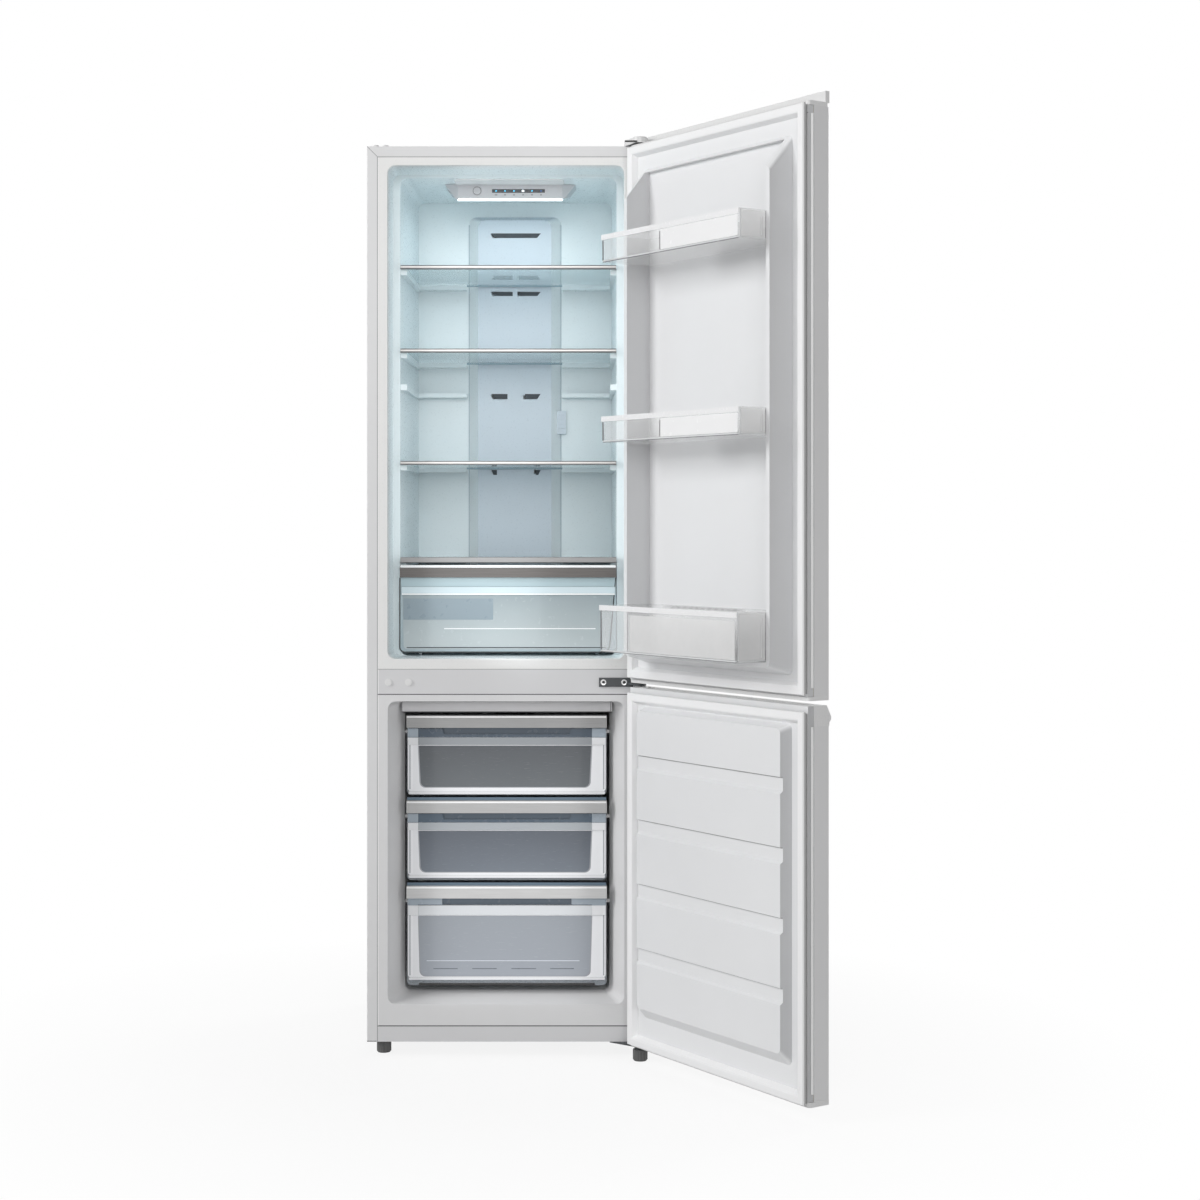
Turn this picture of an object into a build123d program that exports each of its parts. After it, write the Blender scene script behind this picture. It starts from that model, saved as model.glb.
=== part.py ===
from build123d import *
from math import cos, pi, radians, sin, sqrt
import os

# Bottom freezer refrigerator: fridge above, freezer below, both doors hinged on the right.
# X runs to the right, Y into the cabinet and Z up, in millimetres. The origin is on the floor,
# below the middle of the cabinet's front edge. Both doors stand open, as they rest.

# ---- Fits and gaps -------------------------------------------------------------------------
bond = 0.3  # between pieces that are glued, foamed or clipped together
running_fit = 0.05  # radial, shafts in bores
slide_gap = 1.5  # each side of what slides

# ---- Cabinet -------------------------------------------------------------------------------
cabinet_width = 550.0
cabinet_top = 1800.0
cabinet_base = 29.0
cabinet_depth = 500.0
steel = 1.0
edge_radius = 1.5
side_flange = 20.8
top_flange = 20.8
rail_bottom = 716.0
rail_top = 765.5
rail_depth = 12.0
plinth_top = 60.0
liner_wall = 2.0

# ---- Fridge compartment --------------------------------------------------------------------
fridge_floor = 786.0
head_insulation = 38.0
fridge_mouth_top = cabinet_top - head_insulation
ceiling_drop = 6.0
fridge_ceiling = fridge_mouth_top - ceiling_drop
mouth_half_width = 234.0
mouth_corner = 16.0
mouth_depth = 115.0
lip_chamfer = 1.2
fridge_half_width = 220.0
fridge_back_half_width = 211.0
back_insulation = 45.0
fridge_back = cabinet_depth - back_insulation

# ---- Freezer compartment -------------------------------------------------------------------
freezer_sill = 103.0
freezer_head = 702.0
freezer_floor = 118.0
freezer_ceiling = 700.0
freezer_half_width = 205.0
freezer_back_half_width = 199.0
funnel_depth = 60.0
freezer_corner = 12.0

# ---- Machine room behind the lowest freezer drawer -----------------------------------------
machine_room_depth = 170.0
machine_room_front = cabinet_depth - machine_room_depth
machine_room_top = 270.0
machine_room_slope = 60.0
step_foam = 45.0
base_gauge = 2.0

# ---- Shelves and crisper -------------------------------------------------------------------
cover_height = 980.0
shelf_span = fridge_mouth_top - cover_height
shelf_shares = (0.76, 0.5435, 0.252)  # of the height from the crisper's cover to the mouth's top
shelf_heights = [cover_height + share * shelf_span for share in shelf_shares]
spare_ledge_share = 0.46
spare_ledge_height = cover_height + spare_ledge_share * shelf_span
glass = 4.0
shelf_half_width = 208.0
shelf_front = 118.0
trim_lap = 5.0
shelf_back_gap = 28.0
shelf_back = fridge_back - shelf_back_gap
trim_half_width = 219.0
trim_height = 8.0
trim_depth = 12.0
ledge_reach = 13.0
ledge_height = 12.0
ledge_setback = 6.0
ledge_side_gap = 4.0
back_ledge_reach = 8.0
back_ledge_height = 9.0
cover_trim_height = 12.0
crisper_bottom = 793.0
cover_gap = 10.0
crisper_top = cover_height - cover_gap
crisper_front = 106.0
crisper_back_gap = 50.0
crisper_back = fridge_back - crisper_back_gap
crisper_half_width = 205.0
crisper_draft = 9.0
bar_height = 25.0
bar_depth = 8.0
bar_round = 3.0
bar_lip = 3.0
trim_round = 2.0
glass_corner = 6.0
crisper_skid = 180.0
skid_half_width = 3.0
skid_inset = 30.0

# ---- Freezer drawers, from the top ---------------------------------------------------------
drawer_tops = (672.0, 502.0, 332.0)
drawer_bottoms = (512.0, 342.0, 132.0)
drawer_back_gap = 13.0
drawer_step_gap = 72.0
drawer_front = 40.0
drawer_half_width = 199.5
tub_half_width = 191.0
tub_wall = 2.0
tub_draft = 13.0
tub_corner = 14.0
tub_drop = 30.0
drawer_corner = 10.0
runner_height = 6.0
runner_gap = 3.0
runner_start = 4.0
grip_half_width = 130.0
grip_height = 14.0
grip_corner = 4.0
band_drop = 19.0
band_height = 16.0
fascia_front = 36.0
fascia_half_width = 210.0
fascia_bottom = 678.0
fascia_cut = 1.5
fascia_gauge = 3.0
fascia_shelf = 70.0

# ---- Air duct and evaporator ---------------------------------------------------------------
duct_half_width = 100.0
duct_face_half_width = 80.0
duct_top_gap = 31.0
duct_top = fridge_ceiling - duct_top_gap
duct_depth = 25.0
duct_slope = 10.0
vent_half_width = 52.0
vent_height = 9.0
vent_drops = (75.0, 19.0, 10.0, 10.0)  # below the ceiling, a shelf, the spare ledge and a shelf
vent_levels = (fridge_ceiling, shelf_heights[0], spare_ledge_height, shelf_heights[2])
vent_heights = [level - drop for level, drop in zip(vent_levels, vent_drops)]
vent_webs = (0.0, 6.0, 19.0, 42.0)
cooling_depth = 70.0
evaporator_cover_front = fridge_back - cooling_depth
fan_radius = 46.0
fan_height = 620.0
fan_blades = 7

# ---- Control panel -------------------------------------------------------------------------
panel_front = 190.0
panel_back = 270.0
panel_drop = 31.0
panel_bottom = fridge_ceiling - panel_drop
panel_half_width = 108.0
panel_low_half_width = 112.0
panel_top_half_width = 135.0
panel_facet_depth = 10.0
underside_rise = 16.0
button_x = -68.0
button_rise = 16.5
button_z = panel_bottom + button_rise
button_radius = 8.8
display_span = (-37.0, 72.0)
display_height = 7.0
panel_wall = 2.5
lens_depth = 4.0
lens_half_width = 108.0
lens_back_gap = 8.0
display_depth = 1.4
button_travel = 1.2

# ---- Doors ---------------------------------------------------------------------------------
hinge_x = 265.0
hinge_y = -30.0
open_angle = 123.8
door_width = 550.0
door_overhang = 10.0
door_face_depth = 30.0
door_side_depth = 35.0
liner_flange = 17.5
seal_plane = 29.4
upper_door_bottom = 742.0
door_drop = 5.0
upper_door_top = cabinet_top - door_drop
upper_cap_height = 8.0
lip_rise = 20.0
lip_thickness = 9.0
lower_cap_height = 7.0
lower_door_bottom = 29.6
lower_door_top = 733.0
handle_cap_height = 36.0
foot_cap_height = 9.0
pin_radius = 4.0
pin_length = 20.0
boss_radius = 8.5
door_round = 3.0
cap_overlap = 1.0
cap_corner = 6.0
handle_wall = 3.0
grip_top_edge = -24.0
grip_lip_edge = -34.0
grip_slope_height = 20.0
grip_lip_height = 5.0
grip_foot_height = 6.0
gasket_span = (-4.0, 539.0)
gasket_width = 22.0
gasket_inset = 3.0
gasket_foot = 5.5
gasket_margin = 5.0
rail_margin = 10.0

# ---- Upper door inside ---------------------------------------------------------------------
dyke_crest = 65.5
dyke_base_half_width = 231.0
dyke_crest_half_width = 226.0
dyke_inner_half_width = 216.0
dyke_base_drop = 54.0
dyke_crest_drop = 112.0
dyke_inner_drop = 61.0
dyke_base = (785.0, upper_door_top - dyke_base_drop)
dyke_crest_span = (799.0, upper_door_top - dyke_crest_drop)
dyke_inner = (808.0, upper_door_top - dyke_inner_drop)
dyke_corner = 12.0
pocket_corner = 3.0
sunk_panel = 12.5

# ---- Door bins, from the top ---------------------------------------------------------------
bin_drops = (190.0, 537.0)
bottom_bin_top = 898.0
bin_tops = (upper_door_top - bin_drops[0], upper_door_top - bin_drops[1], bottom_bin_top)
bin_heights = (53.0, 50.0, 89.0)
bin_fronts = (124.6, 124.6, 129.0)
bin_half_width = 215.0
bin_wall = 2.0
bin_corner = 5.0
bin_draft = 2.0
bin_trim = 1.2
bin_trim_height = 10.0
comb_span = (257.0, 468.0)
comb_gauge = 2.5
comb_reach = 28.0
comb_teeth = 12

# ---- Lower door inside ---------------------------------------------------------------------
panel_rise = 21.0
panel_base_half_width = 229.0
panel_crest_half_width = 222.0
panel_base_span = (94.0, 699.0)
panel_crest_span = (116.0, 691.0)
band_top = 590.5
band_pitch = 124.4
band_count = 4
band_depth = 5.0
band_width = 30.0
panel_corner = 10.0

# ---- Feet, rollers and compressor ----------------------------------------------------------
foot_radius = 14.5
foot_height = 22.0
foot_edge = 2.0
foot_flutes = 16
flute_depth = 1.2
foot_seat = 22.5
foot_stem_top = 27.5
foot_x = -245.0
foot_y = 40.0
roller_radius = 13.0
roller_width = 14.0
cheek_half_width = 14.0
cheek_drop = 7.0
roller_x = 230.0
roller_back_gap = 30.0
roller_y = cabinet_depth - roller_back_gap
compressor_x = 110.0
compressor_back_gap = 85.0
compressor_y = cabinet_depth - compressor_back_gap
compressor_radius = 68.0
compressor_height = 135.0
compressor_dome = 40.0
compressor_seam = 3.0
grommet_radius = 10.0
grommet_height = 8.0
terminal_box_depth = 34.0
terminal_box_width = 50.0
terminal_box_height = 56.0

# ---- Hinges and plugs ----------------------------------------------------------------------
hinge_gauge = 3.0
hinge_eye = 12.0
hinge_cover_eye = 15.5
hinge_cover_wall = 2.0
hinge_cover_height = 12.0
hinge_cover_left = 234.0
hinge_cover_right = 270.5
leaf_inset = 3.0
leaf_turn = 6.0
cover_lap = 5.0
top_hinge_back = 52.0
middle_plate_span = (184.0, 252.0)
middle_plate_heights = (731.0, 749.0)
arm_bottom = 735.5
arm_thickness = 4.0
arm_root = 12.0
bottom_hinge_left = 205.0
bottom_hinge_back = 70.0
rail_plugs = (-233.0, -193.0)
top_plugs = (-260.0, -241.0)
plug_height = 740.0
plug_radius = 7.0
plug_rise = 2.0
top_plug_rise = 5.0
plug_sides = 16

# ---- Cold air system, behind the freezer ---------------------------------------------------
duct_bottom = 800.0
duct_corner = 16.0
sensor_span = (92.0, 112.0)
sensor_low = shelf_heights[2] + 73.0
sensor_heights = (sensor_low, sensor_low + 50.0)
sensor_depth = 16.0
sensor_slots = 4
sensor_slot_pitch = 10.0
fan_ring_depth = 22.0
fan_pin_radius = 3.0
louvre_pitch = 18.0
louvre_height = 4.0
cover_gauge = 3.0
motor_half_width = 14.0
motor_length = 14.0
motor_arms = 3
fan_pin_length = 14.0
hub_radius = 13.0
hub_length = 11.0
hub_gap = 1.0
fan_gap = 2.0
blade_chord = 14.0
blade_gauge = 1.6
blade_pitch = 35.0
return_rows = 5
return_rise = 40.0
return_pitch = 26.0
return_height = 8.0
return_half_width = 60.0
coil_gap = 27.0
coil_middle = fridge_back - coil_gap
coil_bottom = 335.0
coil_rows = 4
coil_pitch = 50.0
coil_half_width = 184.0
coil_fins = 10
bend_half_depth = 14.0
bend_half_height = 4.0
fin_gauge = 1.2
fin_depth = 40.0
bend_reach = 8.0

# ---- Worked out from the sizes above -------------------------------------------------------
half_width = cabinet_width / 2
flange_edge = half_width - side_flange
inside = half_width - steel - bond
rim_edge = flange_edge - bond
rim_top = cabinet_top - top_flange - bond
foam_front = rail_depth + bond
base_pan_bottom = cabinet_base + bond
base_pan_top = base_pan_bottom + base_gauge
rear_plane = cabinet_depth - steel
machine_room_mid = machine_room_top - machine_room_slope
turn = radians(open_angle)
drawer_backs = [evaporator_cover_front - drawer_back_gap] * 2 + [machine_room_front - drawer_step_gap]


# ---- Planes and small shapes ---------------------------------------------------------------
def facing(y):
    """The upright plane at depth y, with local x and y along X and Z."""
    return Plane.XZ.offset(-y)


def door_face(depth):
    """The plane of the open door at this depth behind its hinge axis: x away from the hinge, y up."""
    inward = (-sin(turn), cos(turn), 0)
    centre = (hinge_x + inward[0] * depth, hinge_y + inward[1] * depth, 0)
    return Plane(origin=centre, x_dir=(-cos(turn), -sin(turn), 0), z_dir=inward)


def door_plan(height):
    """A level plane of the open door: x away from the hinge, y towards the food, facing down."""
    return Plane(origin=(hinge_x, hinge_y, height), x_dir=(-cos(turn), -sin(turn), 0), z_dir=(0, 0, -1))


def door_section(distance):
    """The upright plane across the open door at a distance from its hinge: x towards the food, y up."""
    outward = (-cos(turn), -sin(turn), 0)
    centre = (hinge_x + outward[0] * distance, hinge_y + outward[1] * distance, 0)
    return Plane(origin=centre, x_dir=(-sin(turn), cos(turn), 0), z_dir=(cos(turn), sin(turn), 0))


def middle(pair):
    return (pair[0] + pair[1]) / 2


def both(reach):
    """A pair of values the same distance either side of the cabinet's middle."""
    return (-reach, reach)


def across(reach):
    """The same reach either side of the middle, as distances from the doors' hinge axis."""
    return (hinge_x - reach, hinge_x + reach)


def block(x, y, z, mode=Mode.ADD):
    """A block between pairs of X, Y and Z values."""
    with Locations((middle(x), middle(y), middle(z))):
        Box(x[1] - x[0], y[1] - y[0], z[1] - z[0], mode=mode)


def outline(plane, x, y, corner):
    """A rectangle between pairs of the plane's local values, its corners rounded off."""
    with BuildSketch(plane) as shape:
        with Locations((middle(x), middle(y))):
            RectangleRounded(x[1] - x[0], y[1] - y[0], corner)
    return shape.sketch


def cut_outline(plane, x, y, corner):
    """A rectangle whose corners are cut off flat, along the tangent of the rounded corner."""
    cut = corner * (2 - sqrt(2))
    with BuildSketch(plane) as shape:
        with Locations((middle(x), middle(y))):
            Rectangle(x[1] - x[0], y[1] - y[0])
        chamfer(shape.vertices(), cut)
    return shape.sketch


def slab(plane, x, y, corner, depth, mode=Mode.ADD, form=outline):
    """A rounded or cut rectangle thickened along the plane's normal."""
    extrude(form(plane, x, y, corner), amount=depth, mode=mode)


def door_block(u, v, z, mode=Mode.ADD):
    """A block of the open door, between distances from the hinge, depths and heights."""
    with BuildSketch(door_face(v[0])) as shape:
        with Locations((middle(u), middle(z))):
            Rectangle(u[1] - u[0], z[1] - z[0])
    extrude(shape.sketch, amount=v[1] - v[0], mode=mode)


def door_slab(u, v, corner, z, mode=Mode.ADD, form=outline):
    """A level slab of the open door with rounded or cut upright edges."""
    slab(door_plan(z[1]), u, v, corner, z[1] - z[0], mode, form)


def upright_pin(x, y, radius, z, mode=Mode.ADD):
    """A round rod or hole between two heights."""
    with BuildSketch(Plane.XY.offset(z[0])) as shape:
        with Locations((x, y)):
            Circle(radius)
    extrude(shape.sketch, amount=z[1] - z[0], mode=mode)


def taper_box(low_plane, low, high_plane, high, mode=Mode.ADD, form=outline):
    """A loft between two rounded or cut rectangles, each given as x pair, y pair and corner radius."""
    loft([form(low_plane, *low), form(high_plane, *high)], ruled=True, mode=mode)


def finish(part, name):
    part.label = name
    export_step(part, f"parts/{name}.step")


os.makedirs("parts", exist_ok=True)


# ---- Compartments: the hollow shapes that liners and foam share ----------------------------
def fridge_hollow(grow, front, mode=Mode.ADD, form=outline):
    """The fridge compartment, grown outwards by a wall, from depth front to the back."""
    corner = mouth_corner + grow
    mouth_back = mouth_depth + grow
    mouth_heights = (fridge_floor - grow, fridge_mouth_top + grow)
    mouth = (both(mouth_half_width + grow), mouth_heights, corner)
    slab(facing(mouth_back), *mouth, mouth_back - front, mode, form)
    heights = (fridge_floor - grow, fridge_ceiling + grow)
    throat = (both(fridge_half_width + grow), heights, corner)
    back = (both(fridge_back_half_width + grow), heights, corner)
    taper_box(facing(mouth_depth), throat, facing(fridge_back + grow), back, mode, form)


def freezer_hollow(grow, front, mode=Mode.ADD, form=outline):
    """The freezer compartment: a funnel-shaped mouth, then nearly straight walls to the back."""
    heights = (freezer_floor - grow, freezer_ceiling + grow)
    mouth_heights = (freezer_sill - grow, freezer_head + grow)
    mouth = (both(mouth_half_width + grow), mouth_heights, mouth_corner + grow)
    throat = (both(freezer_half_width + grow), heights, freezer_corner + grow)
    back = (both(freezer_back_half_width + grow), heights, freezer_corner + grow)
    taper_box(facing(0), mouth, facing(funnel_depth), throat, mode, form)
    taper_box(facing(funnel_depth), throat, facing(fridge_back + grow), back, mode, form)
    if front < 0:
        slab(facing(0), *mouth, -front, mode, form)


def machine_room(grow, mode=Mode.SUBTRACT):
    """The room for the compressor, grown into the freezer compartment by this much."""
    front = machine_room_front - grow
    top = machine_room_top + grow
    with BuildSketch(Plane.YZ.offset(-cabinet_width)) as profile:
        with BuildLine():
            Polyline(
                (front, 0),
                (front, machine_room_mid + grow),
                (front + machine_room_slope, top),
                (cabinet_depth + grow, top),
                (cabinet_depth + grow, 0),
                close=True,
            )
        make_face()
    extrude(profile.sketch, amount=2 * cabinet_width, mode=mode)


ledge_heights = [z - glass / 2 - bond for z in (*shelf_heights, spare_ledge_height)]
ledge_heights.append(cover_height - bond)
ledge_inner = fridge_half_width - ledge_reach

with BuildPart() as fridge_space:
    fridge_hollow(0, -1)
    for top in ledge_heights:
        for side in (-1, 1):
            span = sorted((side * ledge_inner, side * fridge_half_width))
            heights = (top - ledge_height, top)
            block(span, (shelf_front + ledge_setback, fridge_back), heights, Mode.SUBTRACT)
            span = sorted((side * (duct_half_width + ledge_side_gap), side * fridge_half_width))
            heights = (top - back_ledge_height, top)
            block(span, (shelf_back - back_ledge_reach, fridge_back), heights, Mode.SUBTRACT)

with BuildPart() as freezer_space:
    freezer_hollow(0, -1)
    machine_room(step_foam)
    for top, back in zip(drawer_tops, drawer_backs):
        shelf = top - tub_drop - tub_wall - bond
        for side in (-1, 1):
            span = sorted((side * (tub_half_width + runner_gap), side * (freezer_half_width + 1)))
            depths = (funnel_depth + runner_start, back + runner_height)
            block(span, depths, (shelf - runner_height, shelf), Mode.SUBTRACT)

# ---- Cabinet shell -------------------------------------------------------------------------
with BuildPart() as outer_wrap:
    block(both(half_width), (0, cabinet_depth), (cabinet_base, cabinet_top))
    fillet(outer_wrap.edges().filter_by(Axis.Z).group_by(Axis.Y)[0], edge_radius)
    block(
        both(half_width - steel),
        (steel, cabinet_depth + 1),
        (cabinet_base - 1, cabinet_top - steel),
        Mode.SUBTRACT,
    )
    block(both(flange_edge), (-1, 2 * steel), (cabinet_base - 1, cabinet_top - top_flange), Mode.SUBTRACT)
finish(outer_wrap.part, "outer_wrap")

with BuildPart() as rear_panel:
    with BuildSketch(Plane.YZ.offset(-inside)) as bent_sheet:
        with BuildLine():
            Polyline(
                (machine_room_front, base_pan_top + bond),
                (machine_room_front, machine_room_mid),
                (machine_room_front + machine_room_slope, machine_room_top),
                (cabinet_depth, machine_room_top),
                (cabinet_depth, cabinet_top - steel - bond),
                (rear_plane, cabinet_top - steel - bond),
                (rear_plane, machine_room_top + steel),
                (machine_room_front + machine_room_slope - steel / 2, machine_room_top + steel),
                (machine_room_front - steel, machine_room_mid + steel / 2),
                (machine_room_front - steel, base_pan_top + bond),
                close=True,
            )
        make_face()
    extrude(amount=2 * inside)
finish(rear_panel.part, "rear_panel")

with BuildPart() as cabinet_foam:
    block(both(inside), (foam_front, rear_plane - bond), (base_pan_top + bond, cabinet_top - steel - bond))
    machine_room(steel + bond)
    fridge_hollow(liner_wall + bond, -1, Mode.SUBTRACT, cut_outline)
    freezer_hollow(liner_wall + bond, -1, Mode.SUBTRACT, cut_outline)
    with BuildSketch(Plane.YZ.offset(-inside)) as step_fill:
        with BuildLine():
            shrink = step_foam - liner_wall - bond
            Polyline(
                (machine_room_front - shrink, freezer_floor - 2 * liner_wall),
                (machine_room_front - shrink, machine_room_mid + shrink),
                (machine_room_front - shrink + machine_room_slope, machine_room_top + shrink),
                (fridge_back + 2 * liner_wall, machine_room_top + shrink),
                (fridge_back + 2 * liner_wall, machine_room_top + steel + bond),
                (machine_room_front + machine_room_slope - steel, machine_room_top + steel + bond),
                (machine_room_front - steel - bond, machine_room_mid + steel + bond),
                (machine_room_front - steel - bond, freezer_floor - 2 * liner_wall),
                close=True,
            )
        make_face()
    extrude(step_fill.sketch, amount=2 * inside)
finish(cabinet_foam.part, "cabinet_foam")

with BuildPart() as fridge_liner:
    slab(facing(liner_wall), both(rim_edge), (rail_top + bond, rim_top), 1.0, liner_wall)
    fridge_hollow(liner_wall, 0, form=cut_outline)
    add(fridge_space.part, mode=Mode.SUBTRACT)
    mouth_edges = fridge_liner.edges().group_by(Axis.Y)[0]
    lip_edges = [edge for edge in mouth_edges if edge.bounding_box().max.Z < fridge_mouth_top + 1]
    lip_edges = [edge for edge in lip_edges if edge.bounding_box().min.Z > fridge_floor - 1]
    chamfer(lip_edges, lip_chamfer)
finish(fridge_liner.part, "fridge_liner")

with BuildPart() as freezer_liner:
    slab(facing(liner_wall), both(rim_edge), (plinth_top + bond, rail_bottom - bond), 1.0, liner_wall)
    freezer_hollow(liner_wall, 0, form=cut_outline)
    machine_room(step_foam - liner_wall)
    add(freezer_space.part, mode=Mode.SUBTRACT)
finish(freezer_liner.part, "freezer_liner")

with BuildPart() as centre_rail:
    block(both(flange_edge - bond), (0, rail_depth), (rail_bottom, rail_top))
    rail_room = (rail_bottom + steel, rail_top - steel)
    block(both(flange_edge), (2 * steel, rail_depth + 1), rail_room, Mode.SUBTRACT)
finish(centre_rail.part, "centre_rail")

with BuildPart() as bottom_rail:
    block(both(flange_edge - bond), (0, rail_depth), (cabinet_base, plinth_top))
    plinth_room = (cabinet_base - 1, plinth_top - steel)
    block(both(flange_edge), (2 * steel, rail_depth + 1), plinth_room, Mode.SUBTRACT)
finish(bottom_rail.part, "bottom_rail")

with BuildPart() as base_pan:
    block(both(inside), (foam_front, rear_plane - bond), (base_pan_bottom, base_pan_top))
    upright_pin(foot_x, foot_y, boss_radius, (foot_seat, base_pan_bottom))
    upright_pin(foot_x, foot_y, pin_radius + running_fit, (foot_seat - 1, base_pan_top + 1), Mode.SUBTRACT)
    for side in (-1, 1):
        for cheek in (-1, 1):
            x = side * roller_x + cheek * (roller_width / 2 + slide_gap + base_gauge / 2)
            span = (x - base_gauge / 2, x + base_gauge / 2)
            cheek_depths = (roller_y - cheek_half_width, roller_y + cheek_half_width)
            block(span, cheek_depths, (roller_radius - cheek_drop, base_pan_bottom))
        axle_reach = roller_width / 2 + slide_gap + base_gauge
        with BuildSketch(Plane.YZ.offset(side * roller_x - axle_reach)) as axle:
            with Locations((roller_y, roller_radius)):
                Circle(pin_radius)
        extrude(axle.sketch, amount=2 * axle_reach)
finish(base_pan.part, "base_pan")

with BuildPart() as hole_plugs:
    for x in rail_plugs:
        with BuildSketch(facing(0)) as rail_plug:
            with Locations((x, plug_height)):
                RegularPolygon(plug_radius, plug_sides)
        extrude(rail_plug.sketch, amount=plug_rise)
    for x in top_plugs:
        with BuildSketch(Plane.XY.offset(cabinet_top)) as top_plug:
            with Locations((x, foot_y / 2)):
                RegularPolygon(plug_radius, plug_sides)
        extrude(top_plug.sketch, amount=top_plug_rise)
finish(hole_plugs.part, "hole_plugs")

# ---- Hinges on the cabinet -----------------------------------------------------------------
with BuildPart() as top_hinge:
    with BuildSketch(Plane.XY.offset(cabinet_top)) as hinge_leaf:
        with Locations((hinge_x, hinge_y)):
            Circle(hinge_eye)
        with BuildLine():
            Polyline(
                (hinge_x - hinge_eye, hinge_y),
                (hinge_x + hinge_eye, hinge_y),
                (hinge_cover_right - leaf_inset, hinge_y / 2),
                (hinge_cover_right - leaf_inset, top_hinge_back),
                (hinge_cover_left + leaf_inset, top_hinge_back),
                (hinge_cover_left + leaf_inset, leaf_turn),
                close=True,
            )
        make_face()
    extrude(amount=hinge_gauge)
    upright_pin(hinge_x, hinge_y, pin_radius, (upper_door_top - pin_length, cabinet_top))
finish(top_hinge.part, "top_hinge")

with BuildPart() as top_hinge_cover:
    with BuildSketch(Plane.XY.offset(cabinet_top)) as cover_plan:
        with Locations((hinge_x, hinge_y)):
            Circle(hinge_cover_eye)
        with BuildLine():
            Polyline(
                (hinge_x - hinge_cover_eye, hinge_y),
                (hinge_x + hinge_cover_eye, hinge_y),
                (hinge_cover_right, hinge_y / 2),
                (hinge_cover_right, top_hinge_back + cover_lap),
                (hinge_cover_left, top_hinge_back + cover_lap),
                (hinge_cover_left, 0),
                close=True,
            )
        make_face()
    extrude(amount=hinge_cover_height)
    chamfer(top_hinge_cover.edges().group_by(Axis.Z)[-1], hinge_cover_wall)
    with BuildSketch(Plane.XY.offset(cabinet_top)) as cover_hollow:
        add(cover_plan.sketch)
        offset(amount=-hinge_cover_wall)
    extrude(cover_hollow.sketch, amount=hinge_cover_height - 2 * hinge_cover_wall, mode=Mode.SUBTRACT)
finish(top_hinge_cover.part, "top_hinge_cover")

with BuildPart() as middle_hinge:
    block(middle_plate_span, (-hinge_gauge, 0), middle_plate_heights)
    with BuildSketch(Plane.XY.offset(arm_bottom)) as arm:
        with Locations((hinge_x, hinge_y)):
            Circle(hinge_eye)
        with BuildLine():
            Polyline(
                (hinge_x - hinge_eye, hinge_y),
                (hinge_x, hinge_y - hinge_eye),
                (hinge_x + hinge_eye, hinge_y),
                (hinge_x + hinge_eye / 2, hinge_y / 2),
                (middle_plate_span[1], -hinge_gauge / 2),
                (middle_plate_span[1] - arm_root, -hinge_gauge / 2),
                close=True,
            )
        make_face()
    extrude(amount=arm_thickness)
    upright_pin(hinge_x, hinge_y, pin_radius, (lower_door_top - pin_length, upper_door_bottom + pin_length))
finish(middle_hinge.part, "middle_hinge")

with BuildPart() as bottom_hinge:
    with BuildSketch(Plane.XY.offset(cabinet_base - hinge_gauge)) as bracket:
        with Locations((hinge_x, hinge_y)):
            Circle(hinge_eye)
        with BuildLine():
            Polyline(
                (hinge_x - hinge_eye, hinge_y),
                (hinge_x + hinge_eye, hinge_y),
                (inside, 0),
                (inside, bottom_hinge_back),
                (bottom_hinge_left, bottom_hinge_back),
                (bottom_hinge_left, leaf_turn),
                close=True,
            )
        make_face()
    extrude(amount=hinge_gauge)
    upright_pin(hinge_x, hinge_y, pin_radius, (cabinet_base, lower_door_bottom + pin_length))
    upright_pin(hinge_x, hinge_y, boss_radius, (foot_seat, cabinet_base - hinge_gauge))
    stem_room = (foot_seat - 1, cabinet_base - 1)
    upright_pin(hinge_x, hinge_y, pin_radius + running_fit, stem_room, Mode.SUBTRACT)
finish(bottom_hinge.part, "bottom_hinge")


# ---- Feet and rollers ----------------------------------------------------------------------
def levelling_foot(x, y, name):
    """A fluted foot that turns on its stem."""
    step = pi / foot_flutes
    with BuildPart() as foot:
        with BuildSketch(Plane(origin=(x, y, 0))) as tread:
            Circle(foot_radius - foot_edge)
        extrude(tread.sketch, amount=foot_edge)
        with BuildSketch(Plane(origin=(x, y, foot_edge))) as fluted:
            with BuildLine():
                rim = []
                for turn_count in range(foot_flutes):
                    angle = 2 * turn_count * step
                    rim.append((foot_radius * cos(angle), foot_radius * sin(angle)))
                    valley = foot_radius - flute_depth
                    rim.append((valley * cos(angle + step), valley * sin(angle + step)))
                Polyline(*rim, close=True)
            make_face()
        extrude(fluted.sketch, amount=foot_height - foot_edge)
        upright_pin(x, y, pin_radius, (foot_height, foot_stem_top))
    finish(foot.part, name)


levelling_foot(foot_x, foot_y, "left_foot")
levelling_foot(hinge_x, hinge_y, "right_foot")

for name, side in (("left_roller", -1), ("right_roller", 1)):
    with BuildPart(Plane(origin=(side * roller_x, roller_y, roller_radius), z_dir=(1, 0, 0))) as roller:
        Cylinder(roller_radius, roller_width)
        Cylinder(pin_radius + running_fit, roller_width + 1, mode=Mode.SUBTRACT)
    finish(roller.part, name)

# ---- Cold air system -----------------------------------------------------------------------
def duct_form(shrink, mode=Mode.ADD, form=outline):
    """The shallow raised form of the duct's cover, thinned by a wall all round."""
    base_heights = (duct_bottom + shrink, duct_top - shrink)
    base = (both(duct_half_width - shrink), base_heights, duct_corner - shrink)
    face_heights = (duct_bottom + shrink, duct_top - duct_slope - shrink)
    face = (both(duct_face_half_width - shrink), face_heights, duct_corner - shrink)
    taper_box(facing(fridge_back - bond), base, facing(fridge_back - duct_depth + shrink), face, mode, form)


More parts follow.
